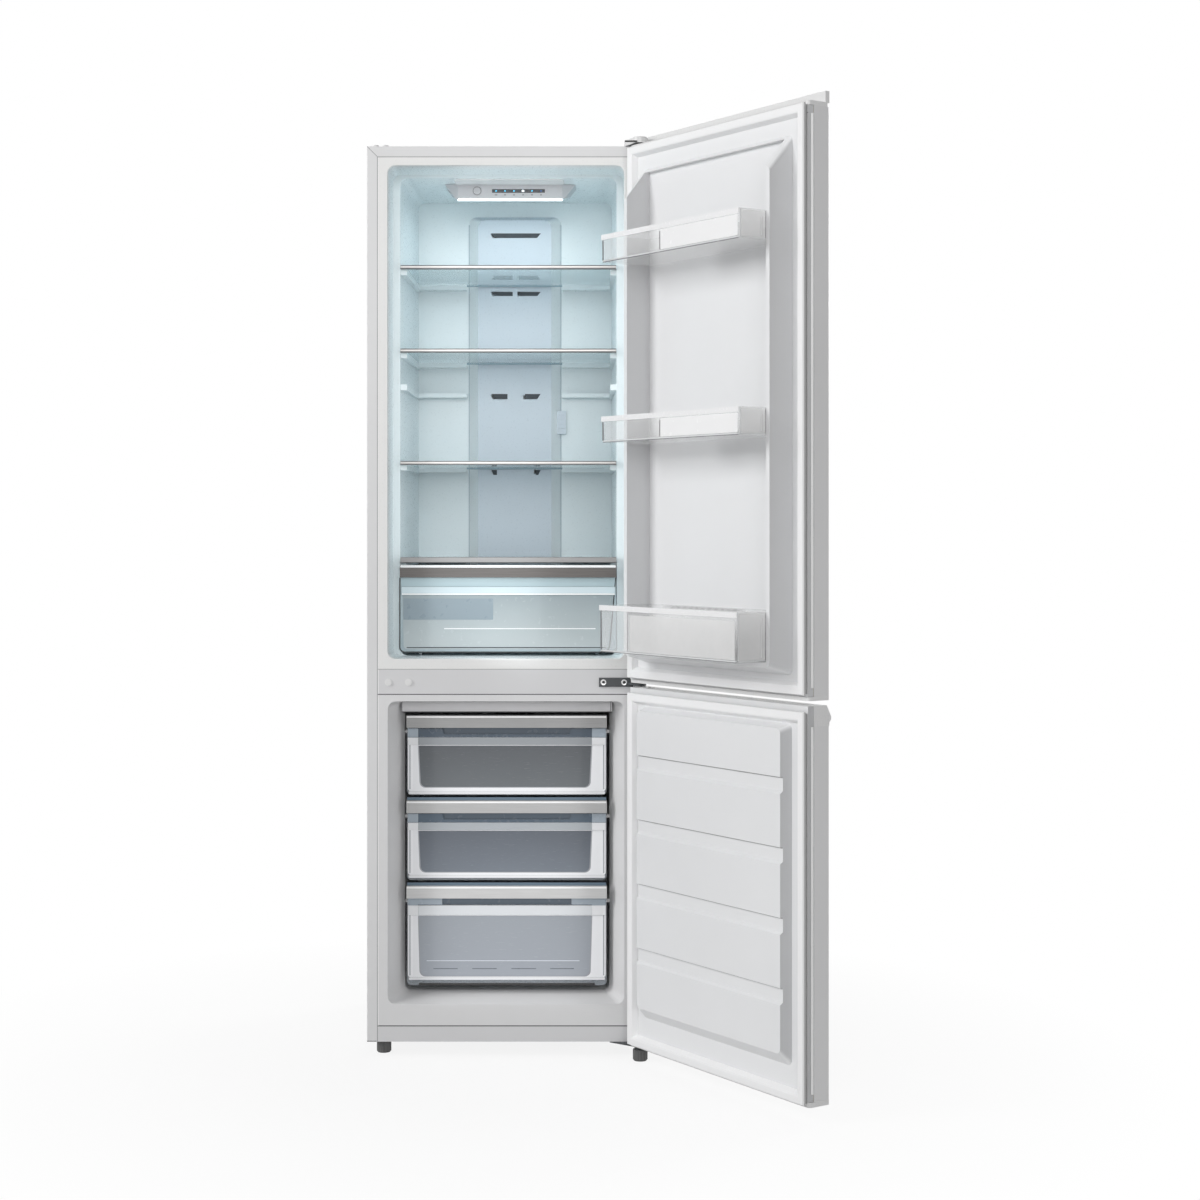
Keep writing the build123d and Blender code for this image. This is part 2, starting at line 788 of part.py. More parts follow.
with BuildPart() as air_duct_cover:
    duct_form(0)
    duct_form(tub_wall, Mode.SUBTRACT, cut_outline)
    for height, web in zip(vent_heights, vent_webs):
        with BuildSketch(facing(fridge_back - duct_depth + 2 * tub_wall)) as vents:
            with BuildLine():
                Polyline(
                    (-vent_half_width, height + vent_height / 2),
                    (vent_half_width, height + vent_height / 2),
                    (vent_half_width - vent_height / 2, height - vent_height / 2),
                    (vent_height / 2 - vent_half_width, height - vent_height / 2),
                    close=True,
                )
            make_face()
            if web:
                with Locations((0, height)):
                    Rectangle(2 * web, 2 * vent_height, mode=Mode.SUBTRACT)
        extrude(vents.sketch, amount=3 * tub_wall, mode=Mode.SUBTRACT)
    sensor_depths = (fridge_back - sensor_depth, fridge_back - bond)
    block(sensor_span, sensor_depths, sensor_heights)
    for slot in range(sensor_slots):
        low = sensor_heights[0] + (slot + 1) * sensor_slot_pitch
        slot_span = (sensor_span[0] + tub_wall, sensor_span[1] - tub_wall)
        slot_depths = (sensor_depths[0] - tub_wall, sensor_depths[0] + tub_wall)
        block(slot_span, slot_depths, (low, low + tub_wall), Mode.SUBTRACT)
finish(air_duct_cover.part, "air_duct_cover")

step_ceiling = machine_room_top + step_foam
cover_back = evaporator_cover_front + cover_gauge
ring_back = evaporator_cover_front + fan_ring_depth
on_plane = (Align.CENTER, Align.CENTER, Align.MIN)
with BuildPart() as evaporator_cover:
    heights = (step_ceiling + bond, freezer_ceiling - bond)
    plate = (both(freezer_back_half_width), heights, freezer_corner)
    slab(facing(cover_back), *plate, cover_gauge, form=cut_outline)
    with Locations(Plane(origin=(0, cover_back, fan_height), z_dir=(0, 1, 0))):
        Cylinder(fan_radius + 2 * cover_gauge, fan_ring_depth, align=on_plane)
        Cylinder(fan_radius + cover_gauge, 3 * fan_ring_depth, mode=Mode.SUBTRACT)
    for row in range(-2, 3):
        reach = sqrt((fan_radius + cover_gauge + 1) ** 2 - (row * louvre_pitch) ** 2)
        z = fan_height + row * louvre_pitch
        louvre = (z - louvre_height / 2, z + louvre_height / 2)
        block(both(reach), (evaporator_cover_front, cover_back), louvre)
    with Locations(Plane(origin=(0, ring_back, fan_height), z_dir=(0, 1, 0))):
        Box(2 * motor_half_width, 2 * motor_half_width, motor_length, align=on_plane)
        with PolarLocations((fan_radius + cover_gauge) / 2, motor_arms):
            with Locations((0, 0, cover_gauge / 2)):
                Box(fan_radius + 2 * cover_gauge - 1, 2 * cover_gauge, cover_gauge)
    with Locations(Plane(origin=(0, ring_back, fan_height), z_dir=(0, -1, 0))):
        Cylinder(fan_pin_radius, fan_pin_length, align=on_plane)
    for row in range(return_rows):
        z = step_ceiling + return_rise + row * return_pitch
        slot = (z, z + return_height)
        block(both(return_half_width), (evaporator_cover_front - 1, cover_back + 1), slot, Mode.SUBTRACT)
finish(evaporator_cover.part, "evaporator_cover")

fan_middle = ring_back - fan_pin_length + hub_length / 2 + hub_gap
blade_middle = (hub_radius + fan_radius - fan_gap) / 2
with BuildPart(Plane(origin=(0, fan_middle, fan_height), z_dir=(0, -1, 0))) as fan_rotor:
    Cylinder(hub_radius, hub_length)
    with PolarLocations(blade_middle, fan_blades):
        Box(fan_radius - fan_gap - hub_radius + 2, blade_chord, blade_gauge, rotation=(blade_pitch, 0, 0))
    Cylinder(fan_pin_radius + running_fit, 2 * hub_length, mode=Mode.SUBTRACT)
finish(fan_rotor.part, "fan_rotor")

with BuildPart() as evaporator:
    coil_heights = (coil_bottom, coil_bottom + coil_rows * coil_pitch)
    block(both(coil_half_width), (coil_middle - fin_gauge, coil_middle + fin_gauge), coil_heights)
    fin_pitch = 2 * coil_half_width / coil_fins
    for fin in range(coil_fins + 1):
        x = fin * fin_pitch - coil_half_width
        back = fridge_back - bond if fin in (0, coil_fins) else coil_middle + fin_depth / 2
        block((x - fin_gauge / 2, x + fin_gauge / 2), (coil_middle - fin_depth / 2, back), coil_heights)
    for row in range(coil_rows):
        for side in (-1, 1):
            span = sorted((side * coil_half_width, side * (coil_half_width + bend_reach)))
            height = coil_bottom + (row + 1 / 2) * coil_pitch
            bend_heights = (height - bend_half_height, height + bend_half_height)
            block(span, (coil_middle - bend_half_depth, coil_middle + bend_half_depth), bend_heights)
finish(evaporator.part, "evaporator")

shell_bottom = base_pan_top + grommet_height + base_gauge
shell_middle = shell_bottom + compressor_height / 2
with BuildPart() as compressor:
    block(
        (compressor_x - compressor_radius, compressor_x + compressor_radius),
        (compressor_y - compressor_radius, compressor_y + compressor_radius),
        (base_pan_top + grommet_height, shell_bottom),
    )
    grommet_pitch = 2 * (compressor_radius - grommet_radius)
    with Locations((compressor_x, compressor_y, base_pan_top + grommet_height / 2)):
        with GridLocations(grommet_pitch, grommet_pitch, 2, 2):
            Box(2 * grommet_radius, 2 * grommet_radius, grommet_height)
    with Locations((compressor_x, compressor_y, shell_middle)):
        Cylinder(compressor_radius, compressor_height)
    fillet(compressor.edges().group_by(Axis.Z)[-1], compressor_dome)
    with Locations((compressor_x, compressor_y, shell_middle)):
        Cylinder(compressor_radius + compressor_seam, 2 * base_gauge)
    terminal_middle = (compressor_x - compressor_radius, compressor_y, shell_middle)
    with Locations(terminal_middle):
        Box(terminal_box_depth, terminal_box_width, terminal_box_height)
finish(compressor.part, "compressor")

# ---- Control panel under the fridge's ceiling ----------------------------------------------
panel_top = fridge_ceiling - bond


def panel_side(points, half, mode=Mode.ADD):
    """A form with this outline of depths and heights, between the same reach either side of the middle."""
    with BuildSketch(Plane.YZ.offset(-half)) as section:
        with BuildLine():
            Polyline(*points, close=True)
        make_face()
    extrude(section.sketch, amount=2 * half, mode=mode)


def underside(depth, lift):
    """A point of the panel's sloping underside, moved up by lift."""
    share = (depth - panel_front) / (panel_back - panel_front)
    return (depth, panel_bottom + share * underside_rise + lift)


below_panel = [underside(panel_front - 1, 0), underside(panel_back + 1, 0)]
below_panel += [(panel_back + 1, panel_bottom - panel_wall), (panel_front - 1, panel_bottom - panel_wall)]
room_ends = (panel_front + panel_wall, panel_back - panel_wall)
panel_room = [underside(room_ends[0], panel_wall), underside(room_ends[1], panel_wall)]
panel_room += [(room_ends[1], panel_top + 1), (room_ends[0], panel_top + 1)]
with BuildPart() as control_housing:
    with BuildSketch(facing(panel_front)) as panel_face:
        with BuildLine():
            Polyline(
                (-panel_top_half_width, panel_top),
                (panel_top_half_width, panel_top),
                (panel_low_half_width, panel_bottom),
                (-panel_low_half_width, panel_bottom),
                close=True,
            )
        make_face()
    extrude(amount=panel_front - panel_back)
    for side in (-1, 1):
        with BuildSketch(Plane.XY.offset(panel_bottom - 1)) as facet:
            with BuildLine():
                Polyline(
                    (side * panel_half_width, panel_front),
                    (side * (panel_top_half_width + 1), panel_front),
                    (side * (panel_top_half_width + 1), panel_front + panel_facet_depth),
                    close=True,
                )
            make_face()
        extrude(facet.sketch, amount=2 * panel_drop, mode=Mode.SUBTRACT)
    panel_side(below_panel, panel_top_half_width + 1, Mode.SUBTRACT)
    panel_side(panel_room, panel_half_width - panel_wall, Mode.SUBTRACT)
    block(
        (display_span[0] - bond, display_span[1] + bond),
        (panel_front - 1, panel_front + display_depth),
        (button_z - display_height / 2 - bond, button_z + display_height / 2 + bond),
        Mode.SUBTRACT,
    )
    with BuildSketch(facing(panel_front - 1)) as button_hole:
        with Locations((button_x, button_z)):
            Circle(button_radius + bond)
    extrude(button_hole.sketch, amount=-3 * panel_wall, mode=Mode.SUBTRACT)
finish(control_housing.part, "control_housing")

with BuildPart() as display_strip:
    block(
        display_span,
        (panel_front - bond, panel_front + display_depth - bond),
        (button_z - display_height / 2, button_z + display_height / 2),
    )
finish(display_strip.part, "display_strip")

with BuildPart() as lamp_lens:
    lens_ends = (panel_front, panel_back - lens_back_gap)
    lens_top = [underside(lens_ends[0], -bond), underside(lens_ends[1], -bond)]
    lens_under = [underside(lens_ends[1], -lens_depth), underside(lens_ends[0], -lens_depth)]
    panel_side(lens_top + lens_under, lens_half_width)
finish(lamp_lens.part, "lamp_lens")

with BuildPart() as temperature_button:
    with BuildSketch(facing(panel_front - button_travel - bond)) as button_face:
        with Locations((button_x, button_z)):
            Circle(button_radius)
    extrude(button_face.sketch, amount=-2 * panel_wall)
finish(temperature_button.part, "temperature_button")


# ---- Shelves and the crisper's cover -------------------------------------------------------
def front_trim(front, heights, slot):
    """A metal edge strip that laps over the front of a glass plate."""
    with BuildPart() as trim:
        block(both(trim_half_width), (front, front + trim_depth), heights)
        fillet(trim.edges().filter_by(Axis.X).group_by(Axis.Y)[0], trim_round)
        block(
            both(shelf_half_width + bond),
            (front + trim_depth - trim_lap - bond, front + trim_depth + 1),
            (slot[0] - bond / 2, slot[1] + bond / 2),
            Mode.SUBTRACT,
        )
    return trim.part


def glass_plate(heights):
    """A toughened glass plate with its corners cut, whose front edge sits in its trim."""
    with BuildPart() as plate:
        slab(
            Plane.XY.offset(heights[0]),
            both(shelf_half_width),
            (shelf_front - trim_lap, shelf_back),
            glass_corner,
            heights[1] - heights[0],
            form=cut_outline,
        )
    return plate.part


for number, height in enumerate(shelf_heights, 1):
    plate_heights = (height - glass / 2, height + glass / 2)
    finish(glass_plate(plate_heights), f"shelf_{number}_glass")
    trim_heights = (height - trim_height / 2, height + trim_height / 2)
    finish(front_trim(shelf_front - trim_depth, trim_heights, plate_heights), f"shelf_{number}_trim")

plate_heights = (cover_height, cover_height + glass)
finish(glass_plate(plate_heights), "crisper_cover_glass")
trim_heights = (cover_height - cover_trim_height / 2, cover_height + cover_trim_height / 2)
finish(front_trim(shelf_front - trim_depth, trim_heights, plate_heights), "crisper_cover_trim")


# ---- Drawers -------------------------------------------------------------------------------
def tub_walls(half, depths, heights, draft, shrink, mode=Mode.ADD):
    """The tapered form of a tub, thinned by a wall all round."""
    reach = draft + shrink
    low = (both(half - reach), (depths[0] + reach, depths[1] - reach), tub_corner)
    high = (both(half - shrink), (depths[0] + tub_wall + shrink, depths[1] - shrink), tub_corner)
    taper_box(Plane.XY.offset(heights[0]), low, Plane.XY.offset(heights[1]), high, mode, cut_outline)


def drawer_tub(depths, panel, half, heights, draft, rim, band_top):
    """An open tub with sloping sides, moulded in one with its flat front panel and its rim."""
    front, back = depths
    panel_half, panel_heights = panel
    with BuildPart() as shell:
        tub_walls(half, depths, heights, draft, 0)
        rim_depths = (front + tub_wall, back + rim - half - tub_wall)
        block(both(rim), rim_depths, (heights[1] - tub_wall, heights[1]))
        inner_heights = (heights[0] + tub_wall, heights[1] + bond)
        tub_walls(half, depths, inner_heights, draft, tub_wall, Mode.SUBTRACT)
        with BuildSketch(facing(front + 2 * tub_wall)) as front_panel:
            with Locations((0, middle(panel_heights))):
                Rectangle(2 * panel_half, panel_heights[1] - panel_heights[0])
            fillet(front_panel.vertices().group_by(Axis.Y)[0], drawer_corner)
        extrude(front_panel.sketch, amount=2 * tub_wall)
        block(both(panel_half - tub_wall), (front - tub_wall, front), (band_top - band_height, band_top))
    return shell.part


def drawer_bar(face, half, top):
    """A brushed metal handle bar with a bevelled upper edge and a finger lip below."""
    low = top - bar_height
    with BuildPart() as bar:
        with BuildSketch(Plane.YZ.offset(-half)) as section:
            with BuildLine():
                Polyline(
                    (face, top),
                    (face - bar_depth + bar_round, top),
                    (face - bar_depth, top - bar_round),
                    (face - bar_depth, low),
                    (face - bar_depth + bar_lip, low),
                    (face, low + bar_lip),
                    close=True,
                )
            make_face()
        extrude(amount=2 * half)
    return bar.part


for number, (top, bottom, back) in enumerate(zip(drawer_tops, drawer_bottoms, drawer_backs), 1):
    grip_top = top - bar_height
    panel = (drawer_half_width, (bottom, top - bond))
    heights = (bottom + 2 * tub_wall, top - tub_drop)
    depths = (drawer_front, back)
    edge = grip_top - band_drop
    shell = drawer_tub(depths, panel, tub_half_width, heights, tub_draft, drawer_half_width, edge)
    with BuildPart() as freezer_tub:
        add(shell)
        slab(
            facing(drawer_front + 3 * tub_wall),
            both(grip_half_width),
            (grip_top - grip_height, grip_top),
            grip_corner,
            4 * tub_wall,
            Mode.SUBTRACT,
            cut_outline,
        )
    finish(freezer_tub.part, f"freezer_drawer_{number}_tub")
    bar = drawer_bar(drawer_front - tub_wall - bond, drawer_half_width, top)
    finish(bar, f"freezer_drawer_{number}_bar")

depths = (crisper_front, crisper_back)
panel = (trim_half_width, (crisper_bottom, crisper_top - bond))
heights = (crisper_bottom, crisper_top - tub_drop / 2)
half = crisper_half_width - slide_gap
band_edge = crisper_top - bar_height - band_drop
crisper_shell = drawer_tub(depths, panel, half, heights, crisper_draft, crisper_half_width, band_edge)
with BuildPart() as crisper_tub:
    add(crisper_shell)
    for side in (-1, 1):
        skid = side * crisper_skid
        span = (skid - skid_half_width, skid + skid_half_width)
        skid_depths = (crisper_front + skid_inset, crisper_back - skid_inset)
        block(span, skid_depths, (fridge_floor + bond, crisper_bottom + bond))
finish(crisper_tub.part, "crisper_tub")
finish(drawer_bar(crisper_front - tub_wall - bond, trim_half_width, crisper_top), "crisper_bar")

with BuildPart() as freezer_fascia:
    with BuildSketch(facing(fascia_front)) as fascia_face:
        with BuildLine():
            Polyline(
                (fascia_cut - fascia_half_width, freezer_ceiling - bond),
                (fascia_half_width - fascia_cut, freezer_ceiling - bond),
                (fascia_half_width, freezer_ceiling - fascia_cut),
                (fascia_half_width, fascia_bottom + fascia_cut),
                (fascia_half_width - fascia_cut, fascia_bottom),
                (fascia_cut - fascia_half_width, fascia_bottom),
                (-fascia_half_width, fascia_bottom + fascia_cut),
                (-fascia_half_width, freezer_ceiling - fascia_cut),
                close=True,
            )
        make_face()
    extrude(amount=-fascia_gauge)
    block(
        both(freezer_half_width - freezer_corner),
        (fascia_front, fascia_front + fascia_shelf),
        (freezer_ceiling - bond - tub_wall, freezer_ceiling - bond),
    )
finish(freezer_fascia.part, "freezer_fascia")


# ---- Doors: what both share ----------------------------------------------------------------
door_u = (-door_overhang, door_width - door_overhang)
door_back = door_side_depth - door_face_depth


def door_skin(heights):
    """A pressed steel front with returned sides."""
    with BuildPart() as skin:
        door_slab(door_u, (-door_face_depth, door_back + 2 * door_round), door_round, heights)
        inner = (door_u[0] + steel, door_u[1] - steel)
        depths = (steel - door_face_depth, door_back + 3 * door_round)
        door_slab(inner, depths, door_round - steel / 2, heights, Mode.SUBTRACT)
        beyond = (door_back, door_back + door_width)
        door_block((-door_width, 2 * door_width), beyond, heights, Mode.SUBTRACT)
    return skin.part


def door_flange(heights, shrink):
    """The block behind the liner's flange, thinned by a wall: the flange runs round the door's edge."""
    reach = steel + bond + shrink
    back = door_back if shrink else door_back + bond
    span = (heights[0] + bond + shrink, heights[1] - bond - shrink)
    door_block((door_u[0] + reach, door_u[1] - reach), (back, liner_flange - shrink), span)


def door_foam(heights, bosses, food_side):
    """The door's foam, with room for the hinge bosses of its end caps."""
    with BuildPart() as foam:
        add(food_side(heights, liner_wall + bond, cut_outline))
        inner = (door_u[0] + steel + bond, door_u[1] - steel - bond)
        depths = (steel + bond - door_face_depth, door_back)
        door_slab(inner, depths, door_round, (heights[0] + bond, heights[1] - bond), form=cut_outline)
        for boss in bosses:
            upright_pin(hinge_x, hinge_y, boss_radius + bond, boss, Mode.SUBTRACT)
    return foam.part


def door_liner(heights, bosses, food_side):
    """A vacuum-formed sheet: a flat flange round the edge, and the raised form that faces the food."""
    with BuildPart() as liner:
        add(food_side(heights, 0, outline))
        add(food_side(heights, liner_wall, cut_outline), mode=Mode.SUBTRACT)
        for boss in bosses:
            upright_pin(hinge_x, hinge_y, boss_radius + bond, boss, Mode.SUBTRACT)
    return liner.part


def door_gasket(heights):
    """A magnetic seal: a narrow foot pushed into the liner, and the wider bulb that meets the cabinet."""
    foot_top = liner_flange + gasket_foot
    layers = (
        (liner_flange + bond, foot_top, gasket_inset, gasket_width - gasket_inset),
        (foot_top, seal_plane, 0.0, gasket_width),
    )
    with BuildPart() as seal:
        for low, high, outer, inner in layers:
            for inset, mode in ((outer, Mode.ADD), (inner, Mode.SUBTRACT)):
                u = (gasket_span[0] + inset, gasket_span[1] - inset)
                door_block(u, (low, high), (heights[0] + inset, heights[1] - inset), mode)
    return seal.part


def hinge_boss(boss, bore):
    """Adds a hinge boss to the cap being built, and cuts the bore that runs on the hinge pin."""
    upright_pin(hinge_x, hinge_y, boss_radius, boss)
    upright_pin(hinge_x, hinge_y, pin_radius + running_fit, bore, Mode.SUBTRACT)


def upper_food_side(heights, shrink, form):
    """The upper door's flange, the raised ring with its sloping top end, and the sunk panel inside it."""
    with BuildPart() as side:
        door_flange(heights, shrink)
        base_span = (dyke_base[0] + shrink, dyke_base[1] - shrink)
        crest_span = (dyke_crest_span[0] + shrink, dyke_crest_span[1] - shrink)
        base = (across(dyke_base_half_width - shrink), base_span, dyke_corner)
        crest = (across(dyke_crest_half_width - shrink), crest_span, dyke_corner)
        taper_box(door_face(liner_flange - shrink), base, door_face(dyke_crest - shrink), crest, form=form)
        pocket_span = (dyke_inner[0] - shrink, dyke_inner[1] + shrink)
        pocket = (across(dyke_inner_half_width + shrink), pocket_span, pocket_corner)
        slab(door_face(sunk_panel - shrink), *pocket, dyke_crest, Mode.SUBTRACT, form)
    return side.part


def lower_food_side(heights, shrink, form):
    """The lower door's flange and its raised panel, with four bands pressed in from side to side.
    A band's upper edge is square, and its lower edge slopes at 45 degrees.
    """
    crest_depth = liner_flange + panel_rise - shrink
    with BuildPart() as side:
        door_flange(heights, shrink)
        base_span = (panel_base_span[0] + shrink, panel_base_span[1] - shrink)
        crest_span = (panel_crest_span[0] + shrink, panel_crest_span[1] - shrink)
        base = (across(panel_base_half_width - shrink), base_span, panel_corner)
        crest = (across(panel_crest_half_width - shrink), crest_span, panel_corner)
        taper_box(door_face(liner_flange - shrink), base, door_face(crest_depth), crest, form=form)
        for band in range(band_count):
            height = band_top - band * band_pitch
            top = height + band_width / 2 + shrink
            low = height - band_width / 2 - shrink * (sqrt(2) - 1)
            with BuildSketch(door_section(hinge_x + panel_base_half_width)) as band_cut:
                with BuildLine():
                    Polyline(
                        (crest_depth - band_depth, top),
                        (crest_depth + band_depth, top),
                        (crest_depth + band_depth, low - band_depth),
                        (crest_depth - band_depth, low + band_depth),
                        close=True,
                    )
                make_face()
            extrude(band_cut.sketch, amount=2 * panel_base_half_width, mode=Mode.SUBTRACT)
    return side.part


# ---- Upper door ----------------------------------------------------------------------------
skin_heights = (upper_door_bottom + lower_cap_height, upper_door_top - upper_cap_height)
upper_boss_low = (upper_door_bottom, upper_door_bottom + pin_length + 2)
upper_boss_high = (upper_door_top - pin_length - 2, upper_door_top)
seal_heights = (upper_door_bottom + rail_margin, upper_door_top - gasket_margin)

finish(door_skin(skin_heights), "upper_door_skin")
upper_bosses = (upper_boss_low, upper_boss_high)
finish(door_foam(skin_heights, upper_bosses, upper_food_side), "upper_door_foam")
finish(door_liner(skin_heights, upper_bosses, upper_food_side), "upper_door_liner")
finish(door_gasket(seal_heights), "upper_door_gasket")

cap_u = (door_u[0] - cap_overlap, door_u[1] + cap_overlap)
cap_v = (-door_face_depth - cap_overlap, liner_flange)
with BuildPart() as upper_door_top_cap:
    door_slab(door_u, (-door_face_depth, liner_flange), cap_corner, (skin_heights[1], upper_door_top))
    lip = (-door_face_depth, lip_thickness - door_face_depth)
    door_block(door_u, lip, (upper_door_top - 1, upper_door_top + lip_rise))
    hinge_boss(upper_boss_high, (upper_boss_high[0] + 1, upper_door_top + 1))
finish(upper_door_top_cap.part, "upper_door_top_cap")

with BuildPart() as upper_door_bottom_cap:
    door_slab(cap_u, cap_v, cap_corner, (upper_door_bottom, skin_heights[0]))
    hinge_boss(upper_boss_low, (upper_door_bottom - 1, upper_boss_low[1] - 1))
finish(upper_door_bottom_cap.part, "upper_door_bottom_cap")

# ---- Lower door ----------------------------------------------------------------------------
skin_heights = (lower_door_bottom + foot_cap_height, lower_door_top - handle_cap_height)
lower_boss_low = (lower_door_bottom, lower_door_bottom + pin_length + 2)
lower_boss_high = (lower_door_top - pin_length - 2, lower_door_top)
seal_heights = (lower_door_bottom + gasket_margin, lower_door_top - rail_margin)

finish(door_skin(skin_heights), "lower_door_skin")
liner_heights = (skin_heights[0], lower_door_top)
lower_bosses = (lower_boss_low, lower_boss_high)
finish(door_foam(skin_heights, lower_bosses, lower_food_side), "lower_door_foam")
finish(door_liner(liner_heights, lower_bosses, lower_food_side), "lower_door_liner")
finish(door_gasket(seal_heights), "lower_door_gasket")

with BuildPart() as lower_door_handle_cap:
    with BuildSketch(door_section(door_u[1])) as cap_section:
        with BuildLine():
            Polyline(
                (door_back, skin_heights[1]),
                (door_back, lower_door_top),
                (grip_top_edge, lower_door_top),
                (grip_lip_edge, lower_door_top - grip_slope_height),
                (grip_lip_edge, lower_door_top - grip_slope_height - grip_lip_height),
                (-door_face_depth, skin_heights[1] + grip_foot_height),
                (-door_face_depth, skin_heights[1]),
                close=True,
            )
        make_face()
    extrude(amount=door_width)
    door_block(
        (door_u[0] + handle_wall, door_u[1] - handle_wall),
        (grip_top_edge + handle_wall, door_back - handle_wall),
        (skin_heights[1] - 1, lower_door_top - handle_wall),
        Mode.SUBTRACT,
    )
    hinge_boss(lower_boss_high, (lower_boss_high[0] + 1, lower_door_top + 1))
finish(lower_door_handle_cap.part, "lower_door_handle_cap")

with BuildPart() as lower_door_bottom_cap:
    door_slab(cap_u, cap_v, cap_corner, (lower_door_bottom, skin_heights[0]))
    hinge_boss(lower_boss_low, (lower_door_bottom - 1, lower_boss_low[1] - 1))
finish(lower_door_bottom_cap.part, "lower_door_bottom_cap")

# ---- Door bins -----------------------------------------------------------------------------
bin_back = sunk_panel + bond


def bin_form(front, heights, shrink, mode=Mode.ADD, form=outline):
    """The form of a door bin, a little narrower below, thinned by a wall."""
    corner = bin_corner - shrink
    low_half = bin_half_width - bin_draft - shrink
    low = (across(low_half), (bin_back + shrink, front - bin_draft - shrink), corner)
    high = (across(bin_half_width - shrink), (bin_back + shrink, front - shrink), corner)
    taper_box(door_plan(heights[0]), low, door_plan(heights[1]), high, mode, form)


for name, top, height, front in zip(("upper", "middle", "bottom"), bin_tops, bin_heights, bin_fronts):
    with BuildPart() as door_bin:
        bin_form(front, (top - height, top), 0)
        bin_form(front, (top - height + bin_wall, top), bin_wall, Mode.SUBTRACT, cut_outline)
    finish(door_bin.part, f"{name}_bin")

with BuildPart() as bin_trims:
    for top, front in zip(bin_tops, bin_fronts):
        depths = (front + bond, front + bond + bin_trim)
        door_block(across(bin_half_width), depths, (top - bin_trim_height, top))
finish(bin_trims.part, "bin_trims")

with BuildPart() as bottle_comb:
    comb_front = bin_fronts[-1]
    comb_heights = (bin_tops[-1], bin_tops[-1] + 2 * comb_gauge)
    for depth in (comb_front - comb_reach, comb_front - comb_gauge):
        door_block(comb_span, (depth, depth + comb_gauge), comb_heights)
    tooth_pitch = (comb_span[1] - comb_span[0] - comb_gauge) / (comb_teeth - 1)
    for tooth in range(comb_teeth):
        left = comb_span[0] + tooth * tooth_pitch
        door_block((left, left + comb_gauge), (comb_front - comb_reach, comb_front), comb_heights)
finish(bottle_comb.part, "bottle_comb")
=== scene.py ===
from math import cos, pi, radians, sin

import bmesh
import bpy
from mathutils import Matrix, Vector


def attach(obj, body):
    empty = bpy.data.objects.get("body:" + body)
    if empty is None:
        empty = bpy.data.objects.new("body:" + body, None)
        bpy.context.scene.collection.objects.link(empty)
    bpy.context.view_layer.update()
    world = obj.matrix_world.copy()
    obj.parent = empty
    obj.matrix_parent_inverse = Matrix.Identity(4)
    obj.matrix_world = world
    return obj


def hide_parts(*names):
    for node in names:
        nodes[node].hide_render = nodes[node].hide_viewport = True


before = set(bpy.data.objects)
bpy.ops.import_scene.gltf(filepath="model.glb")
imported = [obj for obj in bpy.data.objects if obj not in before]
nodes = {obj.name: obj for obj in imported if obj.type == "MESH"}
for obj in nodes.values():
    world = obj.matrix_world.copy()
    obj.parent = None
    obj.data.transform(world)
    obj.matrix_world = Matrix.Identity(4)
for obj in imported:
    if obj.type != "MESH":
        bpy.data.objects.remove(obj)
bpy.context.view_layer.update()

# Sizes of pieces are written in millimetres; Blender works in metres.
MM = 0.001
# How much is taken off the edges of a piece whose edges catch the light.
EASED = 0.1
# The radii of a rectangle whose corners aren't rounded.
SQUARE = (0, 0, 0, 0)

# The open doors: both turn on the same upright axis, and stand open by the same angle.
HINGE = Vector((265.0, -30.0, 0.0))
OPEN = radians(123.8)
ALONG = Vector((-cos(OPEN), -sin(OPEN), 0.0))
INWARD = Vector((-sin(OPEN), cos(OPEN), 0.0))


def in_cabinet(across, depth, height):
    """A point of the cabinet: across to the right, depth into it, height above the floor."""
    return Vector((across, depth, height)) * MM


def on_door(away, depth, height):
    """A point of the open doors: distance from the hinge, depth towards the food, height."""
    return (HINGE + ALONG * away + INWARD * depth + Vector((0, 0, height))) * MM


def level_in_cabinet(across, height, depth):
    """A point of a level plate in the cabinet: its outline runs into the depth, its thickness upwards."""
    return in_cabinet(across, depth, height)


def level_on_door(away, height, depth):
    """A point of a level outline on a door, which runs up the door as its thickness."""
    return on_door(away, depth, height)


def on_bin_end(depth, away, height):
    """A point of a bin's free end: its outline runs over depth and height, its thickness along the door."""
    return on_door(away, depth, height)


def ahead(face, near, far):
    """The span of depth from near to far in front of a face."""
    return face - far, face - near


# ---- Materials -------------------------------------------------------------------------------
def node(tree, kind, place, **values):
    """Adds a shader node, sets its properties, and gives it a place in the editor."""
    made = tree.nodes.new(kind)
    made.location = place
    for name, value in values.items():
        setattr(made, name, value)
    return made


def empty_material(name):
    """A material with a Principled shader and its object coordinates."""
    made = bpy.data.materials.new(name)
    made.use_nodes = True
    tree = made.node_tree
    tree.nodes.clear()
    shader = node(tree, "ShaderNodeBsdfPrincipled", (0, 0))
    output = node(tree, "ShaderNodeOutputMaterial", (300, 0))
    tree.links.new(shader.outputs["BSDF"], output.inputs["Surface"])
    coordinates = node(tree, "ShaderNodeTexCoord", (-1400, 0))
    return made, tree, shader, coordinates.outputs["Object"]


def noise(tree, vector, scale, stretch=(1, 1, 1), detail=3.0, place=(-1000, 0)):
    """A noise texture in object space; stretch squeezes it along an axis."""
    mapping = node(tree, "ShaderNodeMapping", (place[0] - 200, place[1]))
    mapping.inputs["Scale"].default_value = stretch
    tree.links.new(vector, mapping.inputs["Vector"])
    texture = node(tree, "ShaderNodeTexNoise", place)
    texture.inputs["Scale"].default_value = scale
    texture.inputs["Detail"].default_value = detail
    tree.links.new(mapping.outputs["Vector"], texture.inputs["Vector"])
    return texture.outputs["Fac"]


